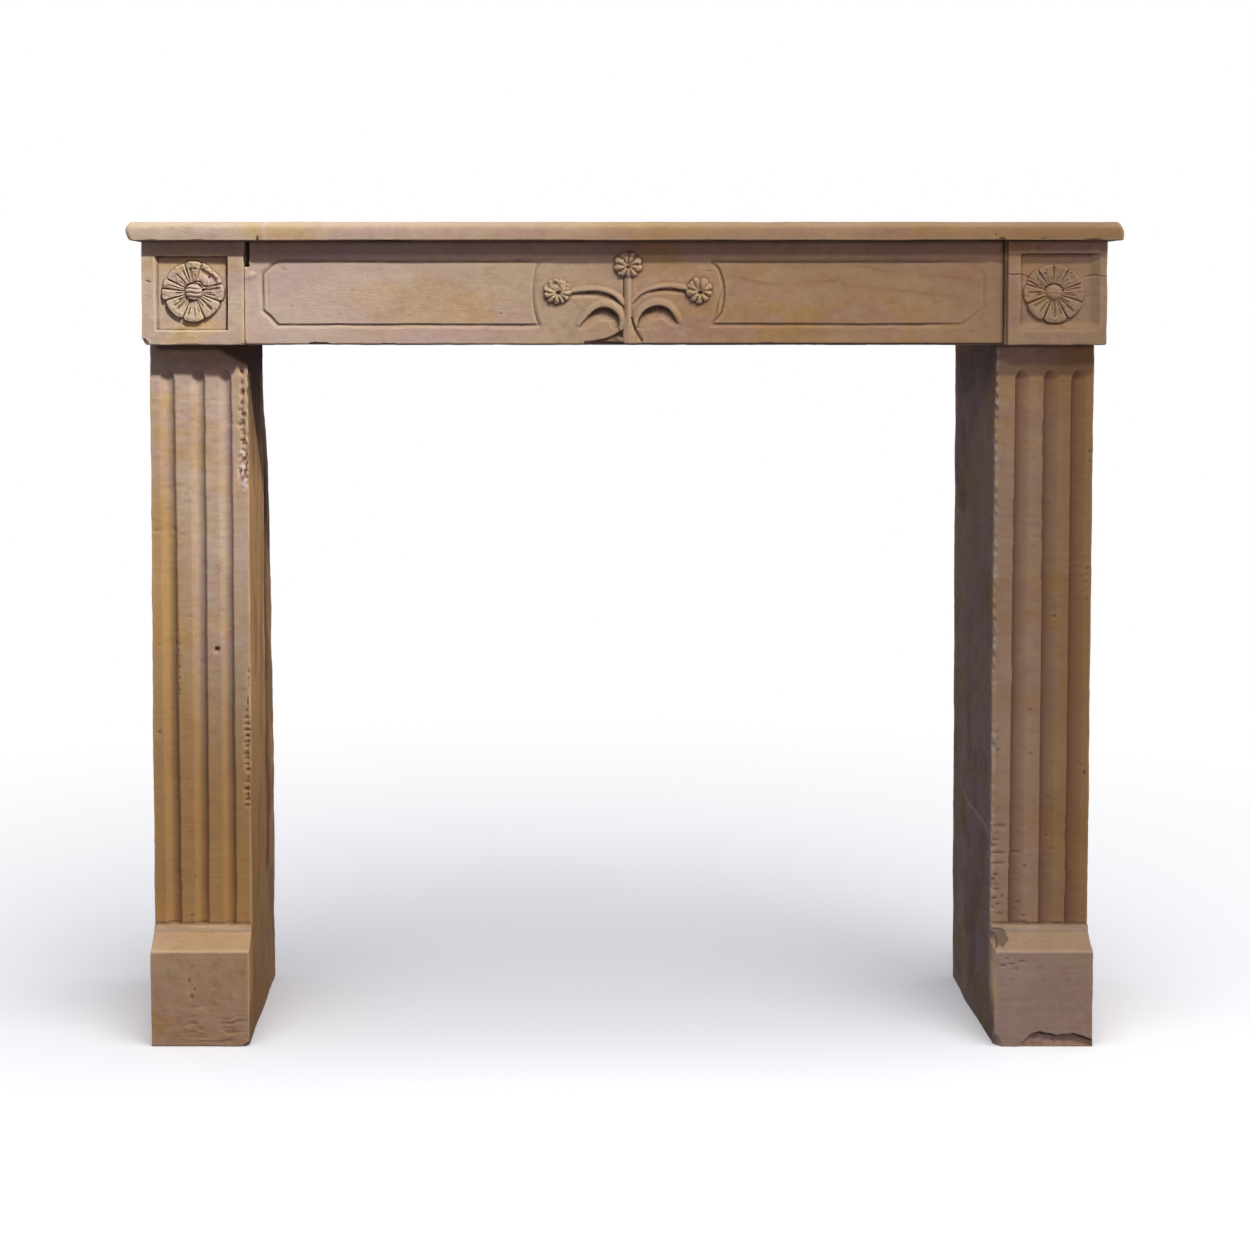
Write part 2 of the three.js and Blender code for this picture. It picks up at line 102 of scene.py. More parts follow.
def noise(points, size, seed):
    """Smooth noise from -1 to 1. size is the width of one bump, one number or one for each axis."""
    where = np.asarray(points, dtype=float) / size
    cell = np.floor(where).astype(np.int64)
    t = where - cell
    t = t * t * t * (t * (t * 6 - 15) + 10)
    total = 0
    for corner in np.ndindex(2, 2, 2):
        near = np.where(corner, t, 1 - t)
        weight = near[:, 0] * near[:, 1] * near[:, 2]
        total = total + weight * lattice_value((cell + corner).T, seed)
    return total


def layered_noise(points, size, seed, layers=3):
    """Noise in layers, each half as wide and half as strong as the one before."""
    total = 0
    size = np.asarray(size, dtype=float)
    for layer in range(layers):
        total = total + noise(points, size / 2**layer, seed + layer) / 2**layer
    return total / (2 - 0.5 ** (layers - 1))


# Small shape helpers

def ramp(start, end, value):
    """0 before start, 1 after end, and a smooth step between them."""
    t = np.clip((value - start) / (end - start), 0, 1)
    return t * t * (3 - 2 * t)


def ridge(distance, half_width):
    """1 on a line, falling in a round-topped ridge to 0 at half_width."""
    t = np.clip(np.abs(distance) / half_width, 0, 1)
    return (1 - t * t) ** 1.5


def read_table(rows, at):
    """Straight lines between the rows (place, value), read at the given places."""
    places, values = np.array(rows, dtype=float).T
    return np.interp(at, places, values)


PIECES_BETWEEN_POINTS = 8


def smooth_path(points):
    """A Catmull-Rom curve through the points, as short straight pieces."""
    p = np.array(points, dtype=float)
    p = np.vstack([2 * p[0] - p[1], p, 2 * p[-1] - p[-2]])
    out = []
    for i in range(1, len(p) - 2):
        for t in np.linspace(0, 1, PIECES_BETWEEN_POINTS, endpoint=False):
            a = 2 * p[i]
            b = (p[i + 1] - p[i - 1]) * t
            c = (2 * p[i - 1] - 5 * p[i] + 4 * p[i + 1] - p[i + 2]) * t**2
            d = (-p[i - 1] + 3 * p[i] - 3 * p[i + 1] + p[i + 2]) * t**3
            out.append((a + b + c + d) / 2)
    out.append(p[-2])
    return np.array(out)


def along_path(x, z, path):
    """Each place's distance from the path, its side (left of travel is positive) and how far along it is."""
    best = np.full(x.shape, 1e9)
    side = np.zeros(x.shape)
    share = np.zeros(x.shape)
    lengths = np.hypot(*np.diff(path, axis=0).T)
    before = np.concatenate([[0], np.cumsum(lengths)])
    for i, length in enumerate(lengths):
        ax, az = path[i]
        ux, uz = (path[i + 1] - path[i]) / length
        t = np.clip((x - ax) * ux + (z - az) * uz, 0, length)
        gap_x = x - ax - t * ux
        gap_z = z - az - t * uz
        distance = np.hypot(gap_x, gap_z)
        closer = distance < best
        best = np.where(closer, distance, best)
        side = np.where(closer, np.sign(ux * gap_z - uz * gap_x), side)
        share = np.where(closer, (before[i] + t) / before[-1], share)
    return best, side, share


def line_places(low, high, coarse, zones=(), arris=2.4, fine=0.6):
    """Where the lattice's lines lie from low to high: finer at both ends and in zones (from, to, step)."""
    zones = [*zones, (low, low + arris, fine), (high - arris, high, fine)]
    cuts = {low, high}
    for start, end, step in zones:
        cuts |= {min(max(start, low), high), min(max(end, low), high)}
    cuts = sorted(cuts)
    places = []
    for a, b in zip(cuts, cuts[1:]):
        middle = (a + b) / 2
        step = min([coarse] + [s for start, end, s in zones if start <= middle <= end])
        count = max(1, math.ceil((b - a) / step - 1e-6))
        places.extend(np.linspace(a, b, count + 1)[:-1])
    places.append(high)
    return np.array(places)


# The lattice over a stone's box

class Shell:
    """A closed lattice over a box. points are its vertices, and front holds the indices of the front face's
    vertices, one row for each line across."""

    def __init__(self, xs, ys, zs, back_step=10):
        nx, ny, nz = len(xs), len(ys), len(zs)
        self.low = np.array([xs[0], ys[0], zs[0]])
        self.high = np.array([xs[-1], ys[-1], zs[-1]])
        coarse_x = sorted({*range(0, nx, back_step), nx - 1})
        coarse_z = sorted({*range(0, nz, back_step), nz - 1})
        used = np.zeros((nx, ny, nz), dtype=bool)
        used[0] = used[-1] = True
        used[:, 0] = True
        used[:, :, 0] = used[:, :, -1] = True
        used[np.ix_(coarse_x, [ny - 1], coarse_z)] = True
        ids = np.full((nx, ny, nz), -1)
        ids[used] = np.arange(used.sum())
        where = np.argwhere(used)
        self.points = np.column_stack([xs[where[:, 0]], ys[where[:, 1]], zs[where[:, 2]]])
        self.flat = self.points.copy()
        self.front = ids[:, 0, :]
        self.tones = {}
        self.faces = []
        self.add_quads(ids[:, 0, :])
        self.add_quads(ids[-1, :, :])
        self.add_quads(ids[0, :, :], flip=True)
        self.add_quads(ids[:, :, -1])
        self.add_quads(ids[:, :, 0], flip=True)
        self.add_back(ids[:, -1, :], coarse_x, coarse_z)

    def add_quads(self, grid, flip=False):
        corners = [grid[:-1, :-1], grid[1:, :-1], grid[1:, 1:], grid[:-1, 1:]]
        if flip:
            corners.reverse()
        self.faces.extend(np.stack(corners, axis=-1).reshape(-1, 4).tolist())

    def add_back(self, grid, coarse_x, coarse_z):
        """The plain back has wide cells. Those on its rim take in the rim's closer vertices."""
        last_x, last_z = grid.shape[0] - 1, grid.shape[1] - 1
        for i0, i1 in zip(coarse_x, coarse_x[1:]):
            for k0, k1 in zip(coarse_z, coarse_z[1:]):
                across = range(i0, i1)
                back_across = range(i1, i0, -1)
                up = range(k0, k1)
                down = range(k1, k0, -1)
                loop = [grid[i, k0] for i in (across if k0 == 0 else [i0])]
                loop += [grid[i1, k] for k in (up if i1 == last_x else [k0])]
                loop += [grid[i, k1] for i in (back_across if k1 == last_z else [i1])]
                loop += [grid[i0, k] for k in (down if i0 == 0 else [k1])]
                self.faces.append([int(v) for v in reversed(loop)])

    def tone(self, name, values, where=slice(None)):
        """Adds to one of the values, from 0 to 1, that the finish reads at each vertex."""
        layer = self.tones.setdefault(name, np.zeros(len(self.points)))
        layer[where] = np.maximum(layer[where], values)

    def tone_front(self, name, values):
        self.tone(name, values, self.front)

    def keep_within(self, low, high, slack):
        """Holds the stone inside its own place. slack is how far it may stand proud on each axis."""
        self.points = np.clip(self.points, np.array(low) - slack, np.array(high) + slack)

    def round_arrises(self, radius):
        """Rounds the box's edges and corners by a radius given for each vertex."""
        r = radius[:, None]
        core = np.clip(self.points, self.low + r, self.high - r)
        away = self.points - core
        self.points = core + away / np.linalg.norm(away, axis=1, keepdims=True) * r

    def front_places(self):
        """X and Z of the front's vertices before any wear, as two grids."""
        flat = self.flat[self.front]
        return flat[..., 0], flat[..., 2]

    def raise_front(self, height):
        """Moves the front outwards by the height given for each of its vertices."""
        self.points[self.front, 1] -= height

    def arris_distance(self):
        """Each vertex's distance from the nearest edge of the box."""
        gaps = np.minimum(self.flat - self.low, self.high - self.flat)
        return np.sort(gaps, axis=1)[:, 1]

    def roughen(self, size, height, seed):
        """Uneven dressing: moves each vertex along its side's outward direction."""
        middle = (self.low + self.high) / 2
        outward = (self.flat - middle) / (self.high - self.low)
        outward = np.sign(outward) * (np.abs(outward) >= 0.4999)
        length = np.linalg.norm(outward, axis=1, keepdims=True)
        outward = outward / np.maximum(length, 1)
        self.points += outward * (height * layered_noise(self.flat, size, seed))[:, None]

    def chip(self, centre, half, seed, turn=0.0, rough=0.18, chip_shade=0.0):
        """Takes an uneven lump out of the stone. Its centre lies just outside the stone. The last argument
        is how much painted shade the broken surface gets.
        """
        centre = np.array(centre, dtype=float)
        cos, sin = math.cos(turn), math.sin(turn)
        near = np.all(np.abs(self.points - centre) < 1.6 * max(half), axis=1)
        local = self.points[near] - centre
        x = cos * local[:, 0] + sin * local[:, 2]
        z = -sin * local[:, 0] + cos * local[:, 2]
        q = np.column_stack([x, local[:, 1], z]) / np.array(half)
        reach = np.linalg.norm(q, axis=1)
        edge = 1 + rough * noise(self.points[near], max(half) / 2.5, seed)
        inside = reach < edge
        scale = np.where(inside, edge / np.maximum(reach, 0.05), 1)
        x, y, z = (q * scale[:, None] * np.array(half)).T
        local = np.column_stack([cos * x - sin * z, y, sin * x + cos * z])
        self.points[near] = centre + local
        self.tone("shade_and_soot", chip_shade * inside, near)


def blurred(grid, reach):
    """A grid averaged over reach cells each way, first along one axis and then along the other."""
    wide = 2 * reach + 1
    for _ in range(2):
        total = np.cumsum(np.pad(grid, [(reach + 1, reach), (0, 0)], mode="edge"), axis=0)
        grid = ((total[wide:] - total[:-wide]) / wide).T
    return grid


def tone_relief(shell, height, reach=3, depth=1.8, wear_and_highlight=1.0):
    """Tells the finish where the front is hollow and where it is proud, and where the arrises are. The
    finish paints shade in the hollows, and pales the arrises and the proud parts as wear and painted
    highlight.
    """
    relief = (height - blurred(height, reach)) / depth
    # Painted shade in the hollows, and paler arrises and proud parts, partly wear and partly painted
    # highlight
    shell.tone_front("hollow", np.clip(-relief, 0, 1))
    shell.tone("wear_and_highlight", np.exp(-shell.arris_distance() / 1.6) * wear_and_highlight)
    shell.tone_front("wear_and_highlight", np.clip(relief, 0, 1) * wear_and_highlight**2)


def front_noise(x, z, size, seed, layers=3):
    """Layered noise over the front's grids. size is one number, or one for X and one for Z."""
    wide, high = size if isinstance(size, tuple) else (size, size)
    places = np.stack([x, 0 * x, z], axis=-1).reshape(-1, 3)
    return layered_noise(places, (wide, wide, high), seed, layers).reshape(x.shape)


def finish_stone(node, shell, material):
    """Makes the shell a Blender object that stands for its CAD node."""
    mesh = bpy.data.meshes.new(f"{node}_stone")
    mesh.from_pydata((shell.points * MM).tolist(), [], shell.faces)
    mesh.update()
    for label, values in shell.tones.items():
        layer = mesh.attributes.new(label, "FLOAT", "POINT")
        layer.data.foreach_set("value", np.asarray(values, dtype=np.float32))
    mesh.shade_smooth()
    mesh.materials.append(material)
    stone = add_object(mesh.name, mesh)
    STONES.objects.link(stone)
    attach(stone, "root")
    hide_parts(node)


# The shelf

# How high above the underside, and how far in
SHELF_FRONT_PROFILE = [
    (0, 0.9), (0.7, 0.3), (3, 0.1), (8, 0), (13, 0.1), (16.5, 0.7), (19.8, 2.0), (22.4, 4.2), (23.7, 7.5),
]
SHELF_LEFT_PROFILE = [
    (0, 6.5), (1.5, 5.0), (5.2, 2.8), (11, 1.0), (14, 0.9), (18.5, 2.5), (22.5, 5.5), (23.7, 7.0),
]
SHELF_RIGHT_PROFILE = [
    (0, 1.5), (1.5, 0.2), (8, 0.0), (12, 0.2), (16, 1.5), (20, 3.3), (22.8, 4.8), (23.7, 6.0),
]
SHELF_CHIPS = [
    # where along the shelf, how far above its underside, then the half sizes
    (-479, -1.5, (1.8, 6, 7)),
    (493, -1.5, (6, 6, 5)),
    (484, 7, (3, 2.5, 3)),
    (-560, -2, (14, 5, 3.2)),
    (-618, -2, (8, 5, 3.4)),
    (-300, -2, (20, 5, 2.9)),
    (-180, -2, (30, 5, 3.0)),
    (60, -2, (9, 4, 3.0)),
    (260, -2, (24, 5, 3.1)),
    (390, -2, (7, 4, 3.6)),
    (547, 1, (4, 4, 3.4)),
    (612, -1, (12, 5, 3.8)),
]


def shape_shelf(shell, low, high):
    """Insets the front and ends by their profiles, bevels the front corners and lets the underside waver."""
    x, y, z = shell.flat.T
    up = z - low[2]
    middle = (low + high) / 2
    half = (high - low) / 2
    off = x - middle[0]
    waver = 1 + 0.25 * layered_noise(shell.flat * [1, 1, 0], 60, 11)
    inset_front = read_table(SHELF_FRONT_PROFILE, up) * waver
    inset_left = read_table(SHELF_LEFT_PROFILE, up)
    inset_right = read_table(SHELF_RIGHT_PROFILE, up)
    inset_end = np.where(off < 0, inset_left, inset_right) * waver
    p = shell.points
    p[:, 0] = middle[0] + off * (1 - inset_end / half[0])
    p[:, 1] = high[1] + (y - high[1]) * (1 - inset_front / (2 * half[1]))
    corner = np.hypot(half[0] - np.abs(off), y - low[1])
    bevel = np.clip(1 - corner / 5, 0, 1) ** 1.2 * 1.8
    p[:, 0] -= np.sign(off) * bevel
    p[:, 1] += bevel
    sag = 0.9 * layered_noise(shell.flat * [1, 0, 0], 170, 13)
    p[:, 2] += sag * (up < 4)


def shelf_tones(shell, low):
    """Golden towards the right, paler along the arrises as wear and painted highlight, and the pale strip
    near the left end.
    """
    x, y, z = shell.flat.T
    up = z - low[2]
    tone_relief(shell, -(shell.points[shell.front, 1] - low[1]), reach=2, wear_and_highlight=0.4)
    shell.tone("golden", 0.35 * ramp(-450, 100, x) + 0.35 * ramp(200, 520, x))
    # Paler arrises: the top one, facing up, is painted highlight and wear; the lower one is paler too
    top_arris = ramp(14.5, 18.5, up + 1.5 * layered_noise(shell.flat * [1, 1, 0], 40, 14))
    low_arris = 0.7 * ramp(3.5, 1.0, up) * (up > 0)
    shell.tone("wear_and_highlight", np.maximum(0.85 * top_arris, low_arris) * (y < low[1] + 14))
    strip = ridge(x + 472, 5) * (0.6 + 0.4 * noise(shell.flat, 5, 15))
    shell.tone("pale", 0.7 * strip * (y < low[1] + 20))


def make_shelf(material):
    low, high = SHELF
    xs = line_places(low[0], high[0], 5, [(-490, -462, 1.2), (478, 508, 1.2)], arris=12, fine=1.5)
    ys = line_places(low[1], high[1], 9, arris=10, fine=1.2)
    zs = line_places(low[2], high[2], 1.1, arris=3, fine=0.6)
    shell = Shell(xs, ys, zs)
    shape_shelf(shell, low, high)
    shell.roughen(45, 0.5, 21)
    shell.roughen(9, 0.25, 25)
    for n, (x, above, size) in enumerate(SHELF_CHIPS):
        shell.chip((x, low[1] - 1, low[2] + above), size, 40 + n)
    shell.chip((high[0], low[1] - 1, high[2]), (7, 6, 5), 60)
    shell.chip((low[0] - 1, low[1] - 1, low[2] + 3), (8, 6, 6), 61)
    shell.keep_within(low, high, (0.6, 0.6, 0.4))
    shelf_tones(shell, low)
    finish_stone("shelf", shell, material)


# The corner blocks with their rosettes

SINK_DEPTH = 8.5
# Each side's slope in the order left, right, foot and head: a worn side slopes more
SQUARE_LEFT = {"x": (-615, -521), "z": (958.4, 1056), "slopes": (5, 1.6, 2.2, 2)}
SQUARE_RIGHT = {"x": (523, 621.3), "z": (963.6, 1059.4), "slopes": (5, 17, 15, 1.8)}
ROSETTE_RADIUS = 41
BOSS = {"wide": 11.6, "high": 10.8, "lobe": 5.6, "groove": 4.7}
ROSETTE_LEFT = {
    "centre": (-566.3, 1008.5),
    # each petal's angle, half its width in degrees, its reach, its ribs and its height
    "petals": [
        (270.5, 23, 0.97, 5, 6.2), (317, 24, 0.96, 4, 5.8), (359, 18, 1.0, 4, 5.2), (90, 17, 1.0, 3, 4.6),
        (130, 23, 1.0, 4, 4.2), (163, 10, 1.02, 2, 5.2), (184.5, 12, 1.03, 2, 5.8), (222, 26, 0.97, 5, 5.6),
    ],
    # the angles between which the petals are lost
    "broken": (17, 73),
    "boss": {"rise": 9.0, "lobes": 2.8, "edge": 0.5},
    # a crack across the petals, and pits with their radius, both from the rosette's middle
    "break_line": [(0, 13.5), (8.4, 13.6), (12.2, 8.6), (17.8, 7.2), (26, 9), (38, 12)],
    "pits": [
        (1.9, 30.9, 2.4), (20.6, 19.7, 2.6), (18, 32, 3.2), (12, 34, 2.0), (25, 27, 2.0), (-25, 30, 1.8),
    ],
}
ROSETTE_RIGHT = {
    "centre": (567.7, 1007.5),
    "petals": [
        (272.5, 25.5, 0.98, 4, 5.6), (320, 22, 0.98, 3, 5.0), (1, 19, 0.98, 4, 3.6), (39, 19, 0.95, 3, 2.8),
        (75, 17, 0.94, 3, 2.6), (109, 17, 0.94, 3, 2.8), (145, 18, 0.97, 3, 3.0), (182, 19, 1.0, 3, 4.0),
        (224.5, 22.5, 1.0, 3, 5.0),
    ],
    "broken": None,
    "boss": {"rise": 6.4, "lobes": 0.6, "edge": 0.8},
    "break_line": [(-38, 17), (-30, 14), (-22, 9), (-16, 6)],
    "pits": [(22, 26, 2.4), (-20, 26, 2.2), (0, 33, 1.8), (12, 14, 1.8), (15, 3, 1.6), (-10, 30, 1.6)],
}


def sunk_square(x, z, square):
    """The sunk field's depth below the block's face. Its sides waver and slope."""
    waver = 0.5 * front_noise(x, z, 18, 65)
    gaps = (x - square["x"][0], square["x"][1] - x, z - square["z"][0], square["z"][1] - z)
    depth = SINK_DEPTH
    for gap, slope in zip(gaps, square["slopes"]):
        depth = depth * ramp(-slope / 2, slope / 2, gap + waver)
    return -depth


def petal_height(radius, angle, petal):
    """One square-ended petal with a smooth raised lip, and uneven cuts that spread from the boss."""
    centre, half_angle, reach, ribs, rise = petal
    off = (angle - centre + 180) % 360 - 180
    across = off / half_angle
    share = radius / (reach * ROSETTE_RADIUS)
    end = 1 - 0.08 * np.clip(np.abs(across), 0, 1) ** 5
    half_width = np.radians(half_angle) * radius
    inside = ramp(0, 0.035, end - share) * ramp(-0.1, 1.7, (1 - np.abs(across)) * half_width)
    body = rise * (0.42 + 0.58 * np.sin(np.clip(share - 0.12, 0, 1) * math.pi / 1.55))
    body = body + 0.8 * ridge(share - 0.86, 0.13) + 0.7 * (1 - across**2) * share
    place = ribs * (across + 1) / 2 + 0.22 * np.sin(centre + 5 * across)
    nearest = np.clip(np.round(place), 1, ribs - 1)
    cut = ridge((place - nearest) * 2 * half_width / ribs, 1.5)
    cut_end = 0.66 + 0.16 * np.sin(2.3 * nearest + centre)
    cut = cut * ramp(0.2, 0.3, share) * ramp(cut_end + 0.1, cut_end, share)
    return (body - 2.8 * min(1, rise / 4.5) * cut) * inside


def broken_lump(dx, dz, radius, angle, rosette):
    """Where the petals are lost: a weathered lump with a rough raised rim. Gives its height and its share.
    """
    start, end = rosette["broken"]
    share = ramp(start - 2, start + 2, angle) * (1 - ramp(end - 2, end + 2, angle))
    uneven = front_noise(dx, dz, 8, 71)
    out = radius / (ROSETTE_RADIUS * (0.98 + 0.04 * front_noise(dx, dz, 14, 75)))
    lump = 4.4 + 2.6 * uneven + 1.8 * ridge(out - 0.9, 0.1) - 1.6 * ridge(out - 0.74, 0.12)
    return lump * ramp(0, 0.04, 1 - out), share


def rosette_height(x, z, rosette):
    """Petals round a raised oval boss with level lobes, above the sunk field."""
    dx, dz = x - rosette["centre"][0], z - rosette["centre"][1]
    radius = np.hypot(dx, dz)
    angle = np.degrees(np.arctan2(dz, dx))
    height = np.zeros(x.shape)
    for petal in rosette["petals"]:
        height = np.maximum(height, petal_height(radius, angle, petal))
    if rosette["broken"]:
        lump, share = broken_lump(dx, dz, radius, angle, rosette)
        height = height * (1 - share) + lump * share
    uneven = 1.1 * front_noise(dx, dz, 5, 79) * (height > 0.5)
    gap, _, _ = along_path(dx, dz, smooth_path(rosette["break_line"]))
    height = height + uneven - 2.6 * ridge(gap, 1.7) * (height > 1)
    for px, pz, size in rosette["pits"]:
        height = height - 2.4 * ridge(np.hypot(dx - px, dz - pz), size) * (height > 1)
    boss = rosette["boss"]
    oval = np.hypot(dx / BOSS["wide"], dz / BOSS["high"])
    height = height - 3.4 * ridge(oval - 1.1, 0.16) * ramp(0, 4, dz)
    lobes = np.abs(np.sin(math.pi * (dz - BOSS["groove"] + 0.6 * np.sin(dx / 3)) / BOSS["lobe"]))
    dome = boss["rise"] * np.clip(1 - oval**3.5, 0, 1) ** boss["edge"] - boss["lobes"] * (1 - lobes) ** 1.6
    return np.where(oval < 1.02, np.maximum(dome, height * ramp(0.8, 1.0, oval)), height)


def make_block(node, box, square, rosette, material, seed, cracks=(), chips=()):
    low, high = box
    low = low.copy()
    low[1] = BLOCK_Y
    xs = line_places(low[0], high[0], 2, [(square["x"][0] - 3, square["x"][1] + 3, 0.65)])
    zs = line_places(low[2], high[2], 2, [(square["z"][0] - 3, square["z"][1] + 3, 0.65)])
    ys = line_places(low[1], high[1], 9)
    shell = Shell(xs, ys, zs)
    lower = 1 + 0.7 * (shell.flat[:, 2] < low[2] + LOWEST_EDGE)
    shell.round_arrises(1.5 * lower * (1 + 0.6 * layered_noise(shell.flat, 20, seed)))
    x, z = shell.front_places()
    carving = sunk_square(x, z, square) + rosette_height(x, z, rosette)
    for points, width, depth in cracks:
        gap, _, share = along_path(x, z, smooth_path(points))
        gap = gap + 0.5 * front_noise(x, z, 6, seed + 9)
        carving = carving - depth * ridge(gap, width) * np.sin(np.clip(share, 0.02, 0.98) * math.pi) ** 0.3
    shell.raise_front(carving)
    shell.roughen(40, 0.8, seed + 1)
    shell.roughen(7, 0.3, seed + 5)
    for n, (centre, size, turn) in enumerate(chips):
        shell.chip(centre, size, seed + 20 + n, turn)
    shell.keep_within(box[0], high, (0.1, 0.6, 0))
    on_right = low[0] > 0
    tone_relief(shell, carving, reach=3, depth=1.7 if on_right else 1.0)
    # Painted shade along the block's head, under the shelf
    shell.tone_front("shade_and_soot", 0.5 * ramp(high[2] - 5, high[2] - 1, z))
    # The right block gets painted shade along its left edge, at the joint with the lintel
    if on_right:
        shell.tone_front("shade_and_soot", 0.9 * ramp(4.4, 2.2, x - low[0]))
    shell.tone("golden", 0.25 if on_right else 0.0)
    finish_stone(node, shell, material)


def make_blocks(material):
    low, high = BLOCK_LEFT
    inner = high[0] + 1
    before = BLOCK_Y - 1
    make_block(
        "corner_block_left", BLOCK_LEFT, SQUARE_LEFT, ROSETTE_LEFT, material, 101,
        cracks=[([(-628, 1024), (-625, 1022.5), (-622, 1021.5)], 1.3, 1.6)],
        chips=[
            ((low[0] - 2, BLOCK_Y + 2, low[2] - 2), (12, 24, 10), 0.6),
            ((inner, before, 985), (2.6, 3, 18), 0),
            ((inner, before, 1022), (2.6, 3, 10), 0),
            ((inner, before, low[2] - 1), (7, 5, 6), 0),
            ((-570, before - 0.5, low[2] - 1.5), (22, 4, 3.4), 0),
        ],
    )
    low, high = BLOCK_RIGHT
    make_block(
        "corner_block_right", BLOCK_RIGHT, SQUARE_RIGHT, ROSETTE_RIGHT, material, 131,
        cracks=[
            ([(502, 1033), (512, 1031), (524, 1032), (534, 1028), (545, 1022)], 1.3, 1.8),
            ([(606, 1028), (614, 1030), (621, 1031), (629, 1029), (636, 1030)], 1.3, 1.6),
        ],
        chips=[
            ((low[0] - 1, before - 0.5, 1058), (3, 4, 12), 0),
            ((high[0] + 1, before, low[2] - 1), (6, 5, 5), 0.3),
            ((600, before, low[2] - 1.5), (12, 5, 3.4), 0),
        ],
    )


# The lintel

QUIRK_OUTER = 5.5
QUIRK_INNER = 1.1
QUIRK_DEPTH = 3.4
LEFT_PANEL = [
    (-474, 1032), (-473.8, 1010), (-473.8, 985), (-470, 981.5), (-464.7, 977.3), (-459.5, 971), (-455, 966),
    (-300, 966.4), (-112.5, 966), (-117, 981), (-119.6, 997), (-119.5, 1014), (-117, 1036), (-113, 1048),
    (-300, 1048), (-455, 1048.6), (-470, 1036.5),
]
RIGHT_PANEL = [
    (118.5, 1048), (126.3, 1040), (131, 1027), (133.6, 1014), (133.4, 997), (130.5, 982), (118, 967),
    (300, 966.5), (446, 967), (457.8, 976), (466, 982), (474, 988), (474, 1010), (474, 1032), (467, 1041),
    (457, 1048), (300, 1048),
]
FAINT_LINES = [
    # points, half width and depth of shallow grooves beside the panels
    ([(-467.3, 1033), (-467.6, 1008), (-467, 986)], 1.6, 0.7),
    ([(131, 1016), (127.5, 1003), (124, 992), (122.2, 980), (117.3, 969.4)], 2.2, 1.9),
    ([(108, 1037.5), (116, 1036)], 1.4, 0.9),
    ([(-72, 1000), (-63, 995)], 1.2, 0.8),
    ([(-70, 996), (-60, 991)], 1.2, 0.8),
    ([(-450, 1040), (-447, 1037)], 2.2, 0.9),
    ([(-360, 1012), (-356, 1009)], 2.0, 0.7),
    ([(176, 991), (181, 997)], 1.2, 0.6),
]


def outline_distance(x, z, outline):
    """Signed distance from a closed outline: positive inside it."""
    loop = np.array([*outline, outline[0]], dtype=float)
    gap, _, _ = along_path(x, z, loop)
    inside = np.zeros(x.shape, dtype=bool)
    for (ax, az), (bx, bz) in zip(loop, loop[1:]):
        crosses = (az > z) != (bz > z)
        if az != bz:
            inside ^= crosses & (x < (bx - ax) * (z - az) / (bz - az) + ax)
    return np.where(inside, gap, -gap)


def quirk(x, z, outline, seed):
    """A groove round a panel: a steep wall on the panel's side and a sloping one outside."""
    waver = front_noise(x, z, 34, seed)
    gap = outline_distance(x, z, outline) + 0.4 * waver
    outer = QUIRK_OUTER * (1 + 0.3 * waver)
    slope = np.clip(1 + gap / outer, 0, 1) ** 1.2
    wall = 1 - np.clip(gap / QUIRK_INNER, 0, 1)
    # How much of the groove's depth wear has left: less towards the right, near the top and at the left
    # panel's right end
    wear_and_highlight = 1 - 0.75 * ramp(395, 470, x) - 0.25 * ramp(1030, 1046, z)
    wear_and_highlight = wear_and_highlight - 0.4 * ridge(x + 112, 24) * ramp(975, 985, z)
    return -QUIRK_DEPTH * wear_and_highlight * np.where(gap < 0, slope, wall)


def groove(x, z, points, half_width, depth):
    """A groove along a curve that fades at both of its ends."""
    gap, _, share = along_path(x, z, smooth_path(points))
    return -depth * ridge(gap, half_width) * np.sin(np.clip(share, 0.05, 0.95) * math.pi) ** 0.4


FLOWERS = [
    # middle, half sizes, number of petals, the first petal's angle, the heart's offset, how worn the top is
    ((6, 1044.5), (19.4, 17), 9, 270, (0, -3.5), 0.0),
    ((-87, 1009.5), (18.2, 17), 11, 262, (0.8, -2), 1.0),
    ((99.6, 1011), (17.4, 17.8), 9, 268, (1.4, -3.2), 0.35),
]
FLOWER_HEIGHT = 8.6
HEART_RADIUS = 3.4


def flower_height(x, z, flower):
    """A small flower of plump uneven petals about a drilled heart."""
    middle, (wide, high), petals, start, (hx, hz), wear = flower
    dx, dz = x - middle[0], z - middle[1]
    waver = front_noise(x, z, 7, 87)
    angle = np.degrees(np.arctan2(dz - 0.5 * hz, dx - 0.5 * hx)) - start + 9 * waver
    step = 360 / petals
    across = np.abs((angle / step + 0.5) % 1 - 0.5) * 2
    reach = (1 - 0.17 * across**3) * (1 + 0.07 * waver)
    share = np.hypot(dx / wide, dz / high) / reach
    inside = ramp(0, 0.05, 1 - share)
    lobe = np.clip(1 - across**3, 0, 1) ** 0.7
    plump = np.sin(np.clip(share, 0, 1) ** 0.9 * math.pi * 0.84)
    height = (1.4 + (FLOWER_HEIGHT - 1.4) * plump * lobe * (0.85 - 0.15 * dz / high + 0.2 * waver)) * inside
    dome = ridge(np.hypot(dx - hx, dz - hz), 7.5)
    height = np.maximum(height, 4.6 * dome * inside)
    heart = np.hypot(dx - hx, (dz - hz) * 1.4) / HEART_RADIUS
    height = height - 6.0 * ramp(1.2, 0.7, heart)
    if wear:
        share_worn = np.clip(ramp(-0.1, 0.55, dz / high) * wear, 0, 1)
        eroded = inside * (2.8 + 4.0 * front_noise(x, z, 5, 83))
        height = height * (1 - share_worn) + eroded * share_worn
    return height


